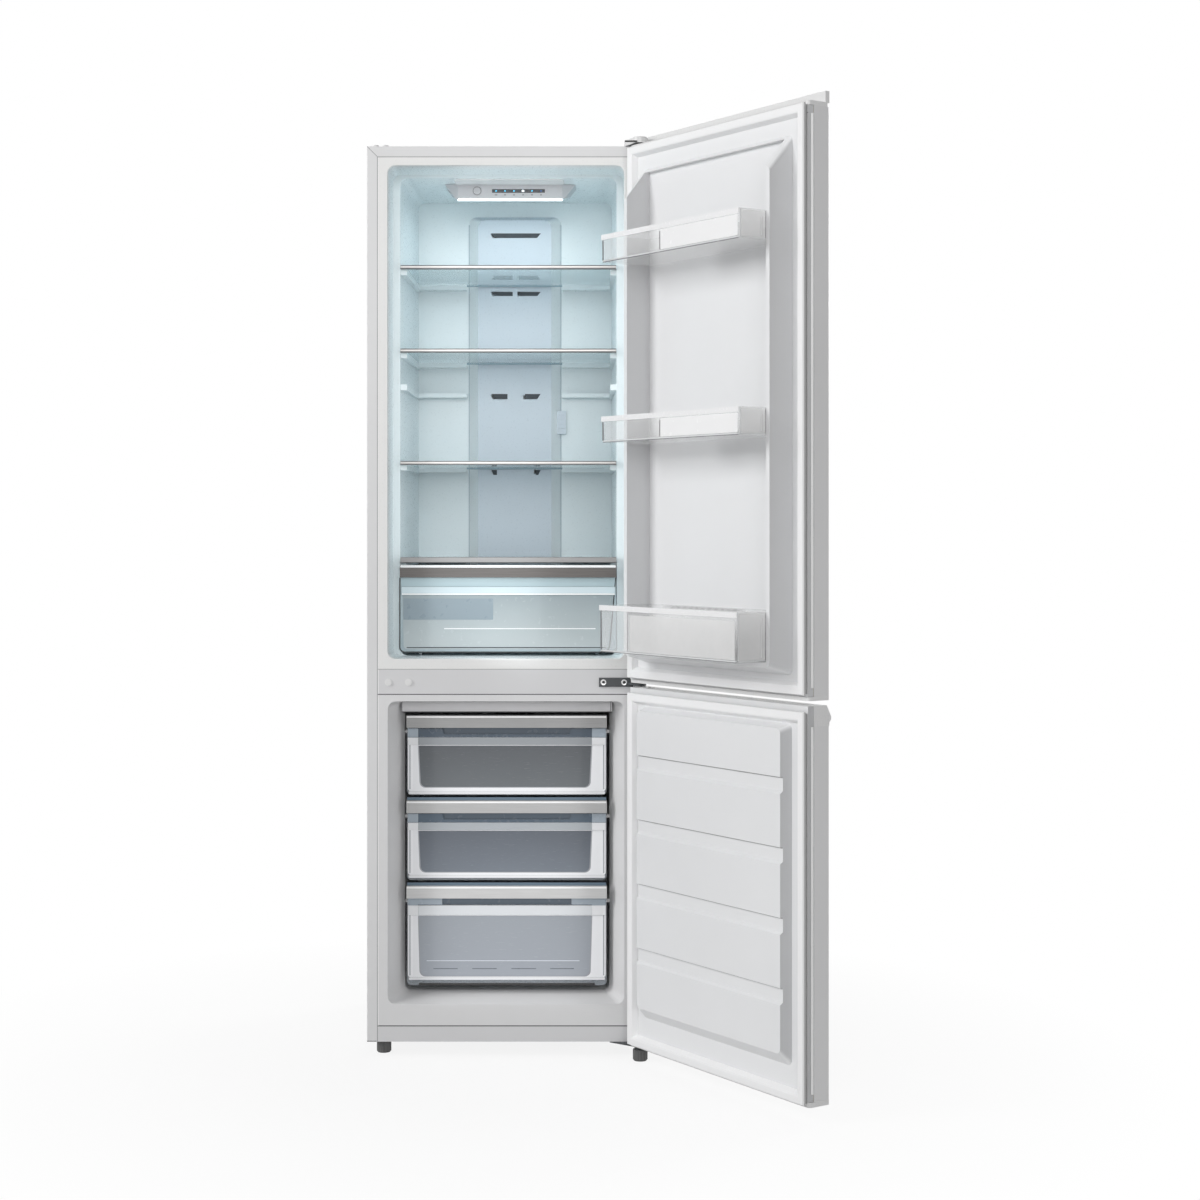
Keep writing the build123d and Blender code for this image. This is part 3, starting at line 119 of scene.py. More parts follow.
def mapped(tree, value, source, target, place=(-700, 0)):
    """Maps a value from one range to another, and holds it there."""
    ranged = node(tree, "ShaderNodeMapRange", place)
    ranged.inputs["From Min"].default_value = source[0]
    ranged.inputs["From Max"].default_value = source[1]
    ranged.inputs["To Min"].default_value = target[0]
    ranged.inputs["To Max"].default_value = target[1]
    tree.links.new(value, ranged.inputs["Value"])
    return ranged.outputs["Result"]


def spread(tree, value, low, high, place=(-700, 0)):
    """Maps the middle of a noise to a range."""
    return mapped(tree, value, (0.3, 0.7), (low, high), place)


def tint(tree, factor, dark, light, place=(-450, 150)):
    """Blends two colours by a factor."""
    mix = node(tree, "ShaderNodeMix", place, data_type="RGBA")
    mix.inputs["A"].default_value = (*dark, 1)
    mix.inputs["B"].default_value = (*light, 1)
    tree.links.new(factor, mix.inputs["Factor"])
    return mix.outputs["Result"]


def shade(color, share):
    """A colour made darker or lighter by a share."""
    return tuple(min(1.0, channel * share) for channel in color)


def along_axis(tree, vector, axis, span, place=(-1000, 700)):
    """0 to 1 along an axis of the object, between two places in metres."""
    split = node(tree, "ShaderNodeSeparateXYZ", (place[0] - 200, place[1]))
    tree.links.new(vector, split.inputs["Vector"])
    return mapped(tree, split.outputs[axis], span, (0.0, 1.0), place)


def finish_surface(tree, shader, vector, color_out, roughness, grain, relief, stretch):
    """Adds the colour, an uneven gloss and a fine grain."""
    tree.links.new(color_out, shader.inputs["Base Color"])
    fine = noise(tree, vector, grain, stretch, 4.0, (-1000, -100))
    gloss = spread(tree, fine, max(0.02, roughness - 0.04), roughness + 0.04, (-700, -100))
    tree.links.new(gloss, shader.inputs["Roughness"])
    bump = node(tree, "ShaderNodeBump", (-400, -350))
    bump.inputs["Strength"].default_value = 0.5
    bump.inputs["Distance"].default_value = relief
    tree.links.new(fine, bump.inputs["Height"])
    tree.links.new(bump.outputs["Normal"], shader.inputs["Normal"])


def coated(name, color, roughness, change=0.02, grain=450.0, relief=0.00004, stretch=(1, 1, 1), metallic=0.0,
           coat=0.0, streak=0.0):
    """A solid finish: paint, plastic or metal, with soft colour change, uneven gloss and a fine grain."""
    made, tree, shader, vector = empty_material(name)
    soft = noise(tree, vector, 3.0, place=(-1000, 400))
    blotch = spread(tree, soft, 0.0, 1.0, (-700, 400))
    color_out = tint(tree, blotch, shade(color, 1 - change), shade(color, 1 + change))
    if streak:
        lines = spread(tree, noise(tree, vector, grain, stretch, 5.0, (-1000, 1000)), 0.0, 1.0, (-700, 1000))
        streaks = tint(tree, lines, (1 - streak,) * 3, (1.0, 1.0, 1.0), (-450, 800))
        product = node(tree, "ShaderNodeMix", (-250, 300), data_type="RGBA", blend_type="MULTIPLY")
        product.inputs["Factor"].default_value = 1.0
        tree.links.new(color_out, product.inputs["A"])
        tree.links.new(streaks, product.inputs["B"])
        color_out = product.outputs["Result"]
    finish_surface(tree, shader, vector, color_out, roughness, grain, relief, stretch)
    shader.inputs["Metallic"].default_value = metallic
    shader.inputs["Coat Weight"].default_value = coat
    shader.inputs["Coat Roughness"].default_value = 0.15
    return made


def graded(name, low, high, axis, span, roughness, grain=260.0, relief=0.00002, stretch=(1, 1, 1), coat=0.0):
    """A finish whose colour passes from one to another along an axis of the object."""
    made, tree, shader, vector = empty_material(name)
    share = along_axis(tree, vector, axis, span)
    wander = spread(tree, noise(tree, vector, 6.0, place=(-1000, 400)), -0.06, 0.06, (-700, 400))
    moved = node(tree, "ShaderNodeMath", (-600, 550), operation="ADD", use_clamp=True)
    tree.links.new(share, moved.inputs[0])
    tree.links.new(wander, moved.inputs[1])
    color_out = tint(tree, moved.outputs[0], low, high)
    finish_surface(tree, shader, vector, color_out, roughness, grain, relief, stretch)
    shader.inputs["Coat Weight"].default_value = coat
    return made


def sided(name, color, other, direction, span, roughness, grain=260.0, relief=0.00002):
    """A finish whose faces that look along a direction, or against it, have another colour."""
    made, tree, shader, vector = empty_material(name)
    coordinates = next(n for n in tree.nodes if n.bl_idname == "ShaderNodeTexCoord")
    turned_to = node(tree, "ShaderNodeVectorMath", (-1000, 700), operation="DOT_PRODUCT")
    turned_to.inputs[1].default_value = direction
    tree.links.new(coordinates.outputs["Normal"], turned_to.inputs[0])
    size = node(tree, "ShaderNodeMath", (-850, 700), operation="ABSOLUTE")
    tree.links.new(turned_to.outputs["Value"], size.inputs[0])
    share = mapped(tree, size.outputs[0], span, (0.0, 1.0), (-700, 700))
    soft = spread(tree, noise(tree, vector, 3.0, place=(-1000, 400)), 0.0, 1.0, (-700, 400))
    mix = node(tree, "ShaderNodeMix", (-250, 300), data_type="RGBA")
    tree.links.new(share, mix.inputs["Factor"])
    tree.links.new(tint(tree, soft, shade(color, 0.98), shade(color, 1.02)), mix.inputs["A"])
    tree.links.new(tint(tree, soft, shade(other, 0.98), shade(other, 1.02), (-450, 500)), mix.inputs["B"])
    finish_surface(tree, shader, vector, mix.outputs["Result"], roughness, grain, relief, (1, 1, 1))
    return made


def clear(name, color, facing, edge, roughness=0.08, grain=60.0):
    """Clear plastic or glass: thin where it faces the eye, and denser towards its edges."""
    made, tree, shader, vector = empty_material(name)
    soft = noise(tree, vector, grain, place=(-1000, 400))
    blotch = spread(tree, soft, 0.0, 1.0, (-700, 400))
    color_out = tint(tree, blotch, shade(color, 0.985), shade(color, 1.015))
    tree.links.new(color_out, shader.inputs["Base Color"])
    weight = node(tree, "ShaderNodeLayerWeight", (-700, -400))
    weight.inputs["Blend"].default_value = 0.35
    alpha = mapped(tree, weight.outputs["Facing"], (0.0, 1.0), (facing, edge), (-400, -400))
    tree.links.new(alpha, shader.inputs["Alpha"])
    ripple = noise(tree, vector, 25.0, place=(-1000, -100))
    gloss = spread(tree, ripple, roughness * 0.9, roughness * 1.1, (-700, -100))
    tree.links.new(gloss, shader.inputs["Roughness"])
    shader.inputs["IOR"].default_value = 1.49
    return made


def glowing(name, color, strength):
    """A lit surface, a little uneven."""
    made, tree, shader, vector = empty_material(name)
    soft = noise(tree, vector, 40.0, place=(-1000, 400))
    blotch = spread(tree, soft, 0.0, 1.0, (-700, 400))
    color_out = tint(tree, blotch, shade(color, 0.94), color)
    tree.links.new(color_out, shader.inputs["Base Color"])
    tree.links.new(color_out, shader.inputs["Emission Color"])
    shader.inputs["Emission Strength"].default_value = strength
    shader.inputs["Roughness"].default_value = 0.3
    return made


WHITE_PAINT = (0.77, 0.77, 0.775)
BRUSHED = (1, 60, 60)
paint = coated("cabinet_paint", WHITE_PAINT, 0.38, grain=500.0, coat=0.2)
rail_paint = coated("rail_paint", (0.72, 0.72, 0.73), 0.42, grain=500.0)
galvanised = coated("rear_sheet", (0.58, 0.59, 0.60), 0.42, change=0.03, grain=90.0, metallic=0.6)
# The fridge liner is white plastic; the bluish cast it takes on past its rim is painted light of the fridge's
# lamp.
fridge_liner_blue_light = graded("fridge_liner_painted_blue_light", (0.88, 0.88, 0.87), (0.83, 0.90, 0.92), "Y", (0.004, 0.060),
                        0.30)
freezer_plastic = coated("freezer_liner_plastic", (0.77, 0.77, 0.775), 0.33, grain=260.0)
# The door liners' faces turned along the door take a darker colour: painted shade. The lower door's liner is
# the same plastic, painted a little darker for the light that falls off lower down.
door_liner_shaded = sided("door_liner_painted_shade", (0.855, 0.86, 0.87), (0.64, 0.645, 0.655), ALONG, (0.55, 0.95),
                     0.32)
low_door_liner_shaded = sided("low_door_liner_shaded", (0.835, 0.84, 0.85), (0.55, 0.555, 0.565), ALONG, (0.55, 0.95),
                         0.32)
cap_plastic = coated("cap_plastic", (0.80, 0.80, 0.80), 0.30, grain=320.0)
seal_rubber = coated("seal_rubber", (0.93, 0.93, 0.935), 0.55, grain=700.0, relief=0.00008)
# Darker copies of the gasket's rubber for its outer side and its groove: painted shade.
seal_side_painted_shade = coated("seal_side_painted_shade", (0.60, 0.60, 0.60), 0.6, grain=700.0)
seal_groove_painted_shade = coated("seal_groove_painted_shade", (0.34, 0.34, 0.34), 0.7, grain=700.0)
# The air duct cover's side slopes take a lighter colour by their direction: painted light.
duct_plastic = sided("duct_plastic", (0.62, 0.69, 0.755), (0.93, 0.97, 0.99), (1, 0, 0), (0.15, 0.6), 0.30)
duct_edge = coated("duct_edge", (0.36, 0.45, 0.50), 0.4, grain=300.0)
panel_plastic = coated("panel_plastic", (0.62, 0.62, 0.64), 0.34, grain=600.0)
foam = coated("foam", (0.80, 0.72, 0.50), 0.85, change=0.08, grain=160.0, relief=0.0004)
fascia_plastic = coated("fascia_plastic", (0.61, 0.61, 0.62), 0.38, grain=300.0)
hinge_paint = coated("hinge_paint", (0.055, 0.06, 0.065), 0.40, grain=420.0)
foot_plastic = coated("foot_plastic", (0.105, 0.105, 0.105), 0.50, grain=380.0)
black_paint = coated("compressor_paint", (0.018, 0.018, 0.019), 0.30, grain=260.0, coat=0.4)
fins = coated("coil_fins", (0.62, 0.63, 0.64), 0.38, grain=120.0, stretch=(1, 1, 9), metallic=0.9)
dark_window = coated("display_window", (0.030, 0.035, 0.045), 0.20, grain=200.0, coat=0.5)


def brushed(name, color, streak=0.14):
    """Brushed metal, its fine lines running across the object."""
    return coated(name, color, 0.38, grain=14.0, relief=0.00006, stretch=BRUSHED, metallic=0.45,
                  streak=streak)


shelf_metal = brushed("shelf_trim_metal", (0.235, 0.23, 0.23))
shelf_line = brushed("shelf_trim_line", (0.66, 0.63, 0.61))
glass_edge = coated("glass_edge", (0.23, 0.34, 0.40), 0.2, grain=90.0, coat=0.3)
cover_metal = brushed("cover_trim_metal", (0.28, 0.275, 0.275))
crisper_metal = brushed("crisper_bar_steel", (0.115, 0.105, 0.10), 0.22)
# The same brushed bar on each drawer, darker on the upper ones: painted shade.
BAR_METAL_PAINTED_SHADE = [brushed(f"bar_{number}", (tone,) * 3) for number, tone in enumerate((0.28, 0.40, 0.52), 1)]
# Pale strips laid on edges, bevels and glossy faces: painted highlights.
highlight_white = coated("painted_highlight", (0.92, 0.92, 0.92), 0.18, grain=60.0, stretch=BRUSHED)
white_trim = coated("bin_trim_white", (0.90, 0.90, 0.91), 0.25, grain=260.0)
silver = coated("screw_steel", (0.72, 0.72, 0.72), 0.25, grain=300.0, metallic=0.9)
# Black for screw sockets, holes and gaps: painted shade.
painted_shade_black = coated("painted_shade_black", (0.02, 0.02, 0.02), 0.5, grain=300.0)
slot_painted_shade = coated("slot_painted_shade", (0.035, 0.045, 0.055), 0.5, grain=300.0)
seam_grey = coated("seam_shadow", (0.36, 0.36, 0.37), 0.7, grain=300.0)
dark_seam = coated("dark_seam", (0.10, 0.10, 0.105), 0.7, grain=300.0)
seam_highlight = coated("seam_highlight", (0.93, 0.93, 0.93), 0.3, grain=300.0)
band_shadow = coated("band_shadow", (0.45, 0.45, 0.455), 0.6, grain=300.0)
mark_grey = coated("panel_mark", (0.16, 0.16, 0.17), 0.5, grain=400.0)
bin_clear = clear("bin_clear", (0.97, 0.975, 0.98), 0.07, 0.42)
tub_clear = clear("tub_clear", (0.52, 0.57, 0.62), 0.30, 0.75)
crisper_clear = clear("crisper_clear", (0.66, 0.78, 0.83), 0.55, 0.85)
shelf_glass = clear("shelf_glass", (0.62, 0.78, 0.82), 0.10, 0.75, roughness=0.04)
lamp_glow = glowing("lamp_glow", (0.86, 0.96, 1.0), 3.0)

# What each node of the frame is finished with.
FINISH = {
    "outer_wrap": paint,
    "upper_door_skin": paint,
    "lower_door_skin": paint,
    "centre_rail": rail_paint,
    "bottom_rail": rail_paint,
    "rear_panel": galvanised,
    "base_pan": galvanised,
    "cabinet_foam": foam,
    "upper_door_foam": foam,
    "lower_door_foam": foam,
    "fridge_liner": fridge_liner_blue_light,
    "freezer_liner": freezer_plastic,
    "upper_door_liner": door_liner_shaded,
    "lower_door_liner": low_door_liner_shaded,
    "hole_plugs": cap_plastic,
    "top_hinge_cover": cap_plastic,
    "upper_door_top_cap": cap_plastic,
    "upper_door_bottom_cap": cap_plastic,
    "lower_door_handle_cap": cap_plastic,
    "lower_door_bottom_cap": cap_plastic,
    "upper_door_gasket": seal_rubber,
    "lower_door_gasket": seal_rubber,
    "air_duct_cover": duct_plastic,
    "evaporator_cover": freezer_plastic,
    "fan_rotor": freezer_plastic,
    "evaporator": fins,
    "compressor": black_paint,
    "control_housing": panel_plastic,
    "temperature_button": panel_plastic,
    "display_strip": dark_window,
    "lamp_lens": lamp_glow,
    "freezer_fascia": fascia_plastic,
    "top_hinge": hinge_paint,
    "middle_hinge": hinge_paint,
    "bottom_hinge": hinge_paint,
    "left_foot": foot_plastic,
    "right_foot": foot_plastic,
    "left_roller": foot_plastic,
    "right_roller": foot_plastic,
    "crisper_cover_glass": shelf_glass,
    "crisper_cover_trim": cover_metal,
    "crisper_tub": crisper_clear,
    "crisper_bar": crisper_metal,
    "upper_bin": bin_clear,
    "middle_bin": bin_clear,
    "bottom_bin": bin_clear,
    "bottle_comb": bin_clear,
    "bin_trims": white_trim,
}
for number in (1, 2, 3):
    FINISH[f"shelf_{number}_glass"] = shelf_glass
    FINISH[f"shelf_{number}_trim"] = shelf_metal
    FINISH[f"freezer_drawer_{number}_tub"] = tub_clear
    FINISH[f"freezer_drawer_{number}_bar"] = BAR_METAL_PAINTED_SHADE[number - 1]

for name, obj in nodes.items():
    obj.data.materials.clear()
    obj.data.materials.append(FINISH[name])


# ---- Small pieces ----------------------------------------------------------------------------
def add_piece(name, build, material, body):
    """Makes an object of a bmesh, gives it a finish and a slot, and lets it ride on a body."""
    mesh = bpy.data.meshes.new(name)
    bmesh.ops.recalc_face_normals(build, faces=build.faces)
    build.to_mesh(mesh)
    build.free()
    mesh.materials.append(material)
    made = bpy.data.objects.new(name, mesh)
    bpy.context.scene.collection.objects.link(made)
    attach(made, body)
    return made


def rounded(across, up, radii=SQUARE, steps=6):
    """The outline of a rectangle, its corners rounded: lower left, lower right, upper right, upper left."""
    (left, right), (low, high) = across, up
    corners = ((left, low, 1, 1), (right, low, -1, 1), (right, high, -1, -1), (left, high, 1, -1))
    points = []
    for turn, ((x, y, right_of, above), radius) in enumerate(zip(corners, radii)):
        if radius == 0:
            points.append((x, y))
            continue
        centre_x, centre_y = x + right_of * radius, y + above * radius
        for step in range(steps + 1):
            angle = pi + turn * pi / 2 + step / steps * pi / 2
            points.append((centre_x + radius * cos(angle), centre_y + radius * sin(angle)))
    return points


def flared(across, up, radius, head):
    """The outline of a window: its lower corners rounded, and its head a little wider."""
    return rounded(across, up, (radius, radius, 0, 0))[:-2] + [(head[1], up[1]), (head[0], up[1])]


def plate(name, outline, depth, material, body, place=in_cabinet, bevel=0.0):
    """A flat piece: an outline thickened between two depths, the edges of its first face broken or not."""
    build = bmesh.new()
    front = [build.verts.new(place(across, depth[0], up)) for across, up in outline]
    back = [build.verts.new(place(across, depth[1], up)) for across, up in outline]
    build.faces.new(front)
    build.faces.new(list(reversed(back)))
    for index in range(len(outline)):
        after = (index + 1) % len(outline)
        build.faces.new((front[index], back[index], back[after], front[after]))
    if bevel:
        loops = [edge for edge in build.edges if edge.verts[0] in front and edge.verts[1] in front]
        bmesh.ops.bevel(build, geom=loops, offset=bevel * MM, segments=2, affect="EDGES", profile=0.5)
    return add_piece(name, build, material, body)


def panel(name, across, up, depth, material, body, place=in_cabinet, bevel=0.0, radii=SQUARE):
    """A plate with a rectangle for its outline, its corners rounded or not."""
    return plate(name, rounded(across, up, radii), depth, material, body, place, bevel)


def plates(prefix, parts, body, place=in_cabinet):
    """Makes a plate of each row: its part of the name, outline, span of depth, finish and bevel."""
    for part, outline, depth, material, bevel in parts:
        plate(f"{prefix}_{part}", outline, depth, material, body, place, bevel)


def turned(name, profile, place, material, body, steps=28):
    """A turned piece: pairs of radius and height round an axis, closed where the radius is 0, or a ring."""
    build = bmesh.new()
    rings = []
    for radius, height in profile:
        if radius == 0:
            rings.append([build.verts.new(place(0, 0, height))])
            continue
        ring = []
        for step in range(steps):
            angle = 2 * pi * step / steps
            ring.append(build.verts.new(place(radius * cos(angle), radius * sin(angle), height)))
        rings.append(ring)
    closed = profile[0] == profile[-1]
    if closed:
        bmesh.ops.delete(build, geom=rings.pop(), context="VERTS")
        rings.append(rings[0])
    for low, high in zip(rings, rings[1:]):
        for step in range(steps):
            after = (step + 1) % steps
            corners = (low[step % len(low)], low[after % len(low)],
                       high[after % len(high)], high[step % len(high)])
            build.faces.new(list(dict.fromkeys(corners)))
    return add_piece(name, build, material, body)


def facing_front(centre, depth):
    """Places a turned piece on a front face: its axis comes out of the cabinet."""
    return lambda x, y, height: in_cabinet(centre[0] + x, depth - height, centre[1] + y)


# ---- Control panel ---------------------------------------------------------------------------
# Depths of the housing's, the strip's and the key's front faces, and the strip's middle height.
PANEL_FACE, STRIP_FACE, KEY_FACE = 190.0, 189.7, 188.5
STRIP_HEIGHT = 1741.5
KEY_MIDDLE = -68.0
FIRST_LIGHT, LIGHT_STEP = -28.9, 18.6
MARK_HEIGHTS = (1732.6, 1734.2)
# The ring round the key: pairs of radius and height.
KEY_RING = [(7.7, 0.0), (7.7, 0.25), (8.7, 0.25), (8.7, 0.0), (7.7, 0.0)]
cyan_light = glowing("cyan_light", (0.10, 0.62, 0.90), 1.0)
dim_light = glowing("dim_light", (0.03, 0.10, 0.30), 0.6)
white_light = glowing("white_light", (0.85, 0.95, 1.0), 2.5)
lights = (cyan_light, cyan_light, cyan_light, white_light, cyan_light, dim_light)
for number, light in enumerate(lights):
    centre = FIRST_LIGHT + LIGHT_STEP * number
    half = 2.2 if light is white_light else 1.5
    rise = half * 0.8
    panel(f"level_light_{number}", (centre - half, centre + half), (STRIP_HEIGHT - rise, STRIP_HEIGHT + rise),
          ahead(STRIP_FACE, 0, 0.4), light, "cabinet", bevel=EASED, radii=(0.8,) * 4)
    reach = 2.6 if number == 0 else 1.9
    panel(f"level_mark_{number}", (centre - reach, centre + reach), MARK_HEIGHTS, ahead(PANEL_FACE, 0, 0.15),
          mark_grey, "cabinet")
turned("key_ring", KEY_RING, facing_front((KEY_MIDDLE, STRIP_HEIGHT), KEY_FACE), mark_grey,
       "temperature_key")
# A pale patch on the fridge's ceiling in front of the panel: a painted highlight.
panel("ceiling_highlight", (-112, 112), (127, 186), (1754.2, 1756.0), highlight_white, "cabinet",
      level_in_cabinet, 0.8, (14, 14, 3, 3))

# ---- Air duct slots and shelf edges ----------------------------------------------------------
DUCT_FACE = 430.0
SLOT_DEPTH = (DUCT_FACE - 0.2, DUCT_FACE + 0.1)
# Each slot: its low and high edge, and the ends of the high edge and of the low edge.
SLOTS = (
    (1676.7, 1686.7, (-51.5, 57.4), (-42.8, 48.7)),
    (1550.3, 1559.0, (-51.0, -4.2), (-44.0, -4.2)),
    (1550.3, 1559.0, (9.5, 56.5), (9.5, 49.5)),
    (1325.9, 1336.8, (-51.0, -15.5), (-44.0, -15.5)),
    (1325.9, 1336.8, (22.6, 56.5), (22.6, 49.5)),
    (1160.3, 1171.2, (-51.0, -38.4), (-46.0, -38.4)),
    (1160.3, 1171.2, (46.5, 56.5), (46.5, 51.5)),
)
# Each shelf: the lower faces of its glass and of its trim.
SHELVES = ((1572.3, 1570.3), (1403.0, 1401.0), (1175.1, 1173.1))
for side, across in (("left", (-101.2, -99.8)), ("right", (99.8, 101.2))):
    panel(f"duct_{side}_edge", across, (802.0, 1708.0), (454.0, 454.9), duct_edge, "cabinet")
# Dark plates over the slots paint the shade inside them.
for number, (low, high, head, foot) in enumerate(SLOTS):
    plate(f"slot_{number}", [(foot[0], low), (foot[1], low), (head[1], high), (head[0], high)], SLOT_DEPTH,
          slot_painted_shade, "cabinet")
for number, (glass, trim) in enumerate(SHELVES, 1):
    body = f"shelf_{number}"
    panel(f"{body}_rear_edge", (-196.0, 196.0), (glass - 2.8, glass + 0.2), (424.5, 427.0), glass_edge, body,
          bevel=EASED)
    panel(f"{body}_trim_line", (-218.5, 218.5), (trim + 2.8, trim + 5.4), (105.7, 106.1), shelf_line, body,
          bevel=EASED)

# ---- Hinge screws ----------------------------------------------------------------------------
# A screw's head and its socket, a black disc of painted shade: pairs of radius and height.
SCREW_HEAD = [(0, 0.2), (2.6, 0.2), (3.2, 1.2), (4.6, 1.5), (5.8, 1.0), (6.2, 0.0), (0, 0.0)]
SCREW_SOCKET = [(0, 0.0), (2.7, 0.0), (2.7, 0.5), (0, 0.5)]
SCREW_HEIGHT = 740.0
SCREW_PLACES = (193.0, 234.0)
for number, across in enumerate(SCREW_PLACES):
    for part, profile, face, finish in (("screw", SCREW_HEAD, -3.0, silver),
                                        ("socket", SCREW_SOCKET, -3.1, painted_shade_black)):
        turned(f"hinge_{part}_{number}", profile, facing_front((across, SCREW_HEIGHT), face), finish,
               "cabinet")


# ---- Freezer drawer fronts -------------------------------------------------------------------
def moulded(name, color, roughness=0.20, change=0.02):
    """The smooth moulded plastic of the drawers, the crisper and the bins, and its darker and paler copies
    that paint shade and highlights.
    """
    return coated(name, color, roughness, change, grain=90.0, coat=0.3)


# Depths of the tubs' and the bars' front faces.
TUB_FACE, BAR_FACE = 40.0, 29.7
WINDOW_GRAIN = (1, 1, 14)
milky = moulded("milky_plastic", (0.88, 0.89, 0.915), 0.22)
milky_painted_shade = moulded("milky_painted_shade", (0.36, 0.37, 0.40), 0.22)
milky_painted_highlight = moulded("milky_painted_highlight", (0.94, 0.95, 0.97))
white_strip = moulded("white_strip", (0.82, 0.83, 0.85))
grip_pale = moulded("grip_pale", (0.36, 0.42, 0.48), 0.25, 0.06)
outline_painted_shade = coated("outline_painted_shade", (0.12, 0.125, 0.13), 0.3, grain=90.0)
gap_painted_shade = coated("gap_painted_shade", (0.10, 0.15, 0.20), 0.4, grain=90.0)
pale_line = coated("pale_line", (0.62, 0.66, 0.72), 0.3, grain=90.0)
dark_line = coated("dark_line", (0.12, 0.14, 0.17), 0.3, grain=90.0)
fascia_dark = coated("fascia_dark", (0.20, 0.20, 0.21), 0.4, grain=300.0)
# The strip below each grip is one pale plastic, darker on the upper drawers: painted shade.
STRIP_SHADE_COLORS = ((0.285, 0.305, 0.325), (0.385, 0.415, 0.440), (0.690, 0.715, 0.740))
# The grip recess of each drawer, dark with its shade and darker on the upper drawers: painted shade.
GRIP_SHADE_COLORS = ((0.046, 0.072, 0.104), (0.062, 0.097, 0.138), (0.090, 0.125, 0.165))
# Each window paints the shaded inside of its tub: its colours at its foot and its head, and the heights
# between which they pass, in metres.
WINDOW_SHADE_COLORS = (
    ((0.112, 0.126, 0.138), (0.070, 0.078, 0.089), (0.530, 0.610)),
    ((0.150, 0.175, 0.210), (0.087, 0.102, 0.127), (0.360, 0.440)),
    ((0.340, 0.368, 0.412), (0.306, 0.334, 0.370), (0.150, 0.270)),
)
STRIP_SHADES = [moulded(f"strip_{number}", color) for number, color in enumerate(STRIP_SHADE_COLORS, 1)]
GRIP_SHADES = [moulded(f"grip_{number}", color, 0.25, 0.06) for number, color in enumerate(GRIP_SHADE_COLORS, 1)]
WINDOW_SHADES = [graded(f"window_{number}", low, high, "Z", span, 0.24, 60.0, stretch=WINDOW_GRAIN, coat=0.3)
           for number, (low, high, span) in enumerate(WINDOW_SHADE_COLORS, 1)]

# Each drawer's heights, from the top one down: bar's top, grip, the cut in it, strip, window and ledge.
DRAWERS = (
    (671.0, (626.5, 645.0), 633.0, (612.2, 626.5), (528.0, 610.5), (513.5, 519.5)),
    (501.0, (456.5, 475.0), 463.0, (442.0, 456.5), (358.5, 440.5), (346.5, 352.0)),
    (331.0, (293.0, 305.5), 293.0, (272.3, 291.5), (151.0, 270.8), (143.0, 148.0)),
)
# The layers of a front: its skin, the upright lines on it, and the strip behind the grip.
SKIN = ahead(TUB_FACE, 0, 0.4)
LINES = ahead(TUB_FACE, 0.4, 0.5)
RECESSED = ahead(TUB_FACE, 2.0, 2.4)
for number, (bar, grip, cut, strip, window, ledge) in enumerate(DRAWERS, 1):
    body = f"freezer_drawer_{number}"
    # A pale strip along the top of each bar: a painted highlight.
    panel(f"drawer_{number}_bar_highlight", (-199, 199), (bar - 4.0, bar - 0.5), ahead(BAR_FACE, 0, 0.4),
          highlight_white, body, bevel=EASED, radii=(1,) * 4)
    parts = [
        # A dark rim round the front: painted shade at its edge.
        ("outline", rounded((-199.0, 199.0), (ledge[1], strip[1]), (6, 6, 0, 0)), ahead(TUB_FACE, 0, 0.2),
         outline_painted_shade, 0),
        ("front", rounded((-197.6, 197.6), (ledge[1] + 0.2, strip[1]), (5, 5, 0, 0)),
         ahead(TUB_FACE, 0.2, 0.4), milky, EASED),
    ]
    upright = (ledge[1] + 4, strip[0])
    # Each side of a front: a dark fold line and a bright line beside it, painted shade and highlight.
    for side, edge, line in (("left", -194.4, -190.2), ("right", 192.4, 187.2)):
        parts += [
            (f"{side}_fold", rounded((edge, edge + 2.0), upright), LINES, milky_painted_shade, 0),
            (f"{side}_light", rounded((line, line + 2.0), upright), LINES, milky_painted_highlight, 0),
        ]
    parts += [
        # A dark rim round the window: painted shade.
        ("window_rim", flared((-174.5, 167.5), (window[0] - 1.5, window[1]), 12, (-177.5, 170.5)),
         ahead(TUB_FACE, 0.4, 0.55), milky_painted_shade, 0),
        ("window", flared((-172.0, 165.0), window, 11, (-175.5, 168.5)), ahead(TUB_FACE, 0.55, 0.7),
         WINDOW_SHADES[number - 1], 0),
        ("ledge", rounded((-196, 196), ledge, (2,) * 4), ahead(TUB_FACE, 0, 1.0), white_strip, 0.2),
        ("strip", rounded((-176.5, 169.5), strip), RECESSED, STRIP_SHADES[number - 1], EASED),
    ]
    for side, across in (("left", (-197.5, -177.0)), ("right", (170.0, 197.5))):
        parts += [
            (f"{side}_strip", rounded(across, strip), RECESSED, white_strip, EASED),
            (f"{side}_grip_end", rounded(across, (strip[1], grip[1])), SKIN, grip_pale, EASED),
        ]
    if cut > grip[0]:
        outline = [(-177, grip[1]), (-177, grip[0]), (170, grip[0]), (170, grip[1]), (129, grip[1]),
                   (125, cut), (-125, cut), (-129, grip[1])]
        parts.append(("grip", outline, SKIN, GRIP_SHADES[number - 1], 0))
    else:
        for side, across in (("left", (-177.0, -129.0)), ("right", (129.0, 170.0))):
            parts.append((f"{side}_grip", rounded(across, grip), SKIN, grip_pale, EASED))
    parts.append(("cup", rounded((-133.0, 133.0), (cut - 4, grip[1] + 3), (6, 6, 0, 0)), (46.3, 47.5),
                  GRIP_SHADES[number - 1], EASED))
    plates(f"drawer_{number}", parts, body)
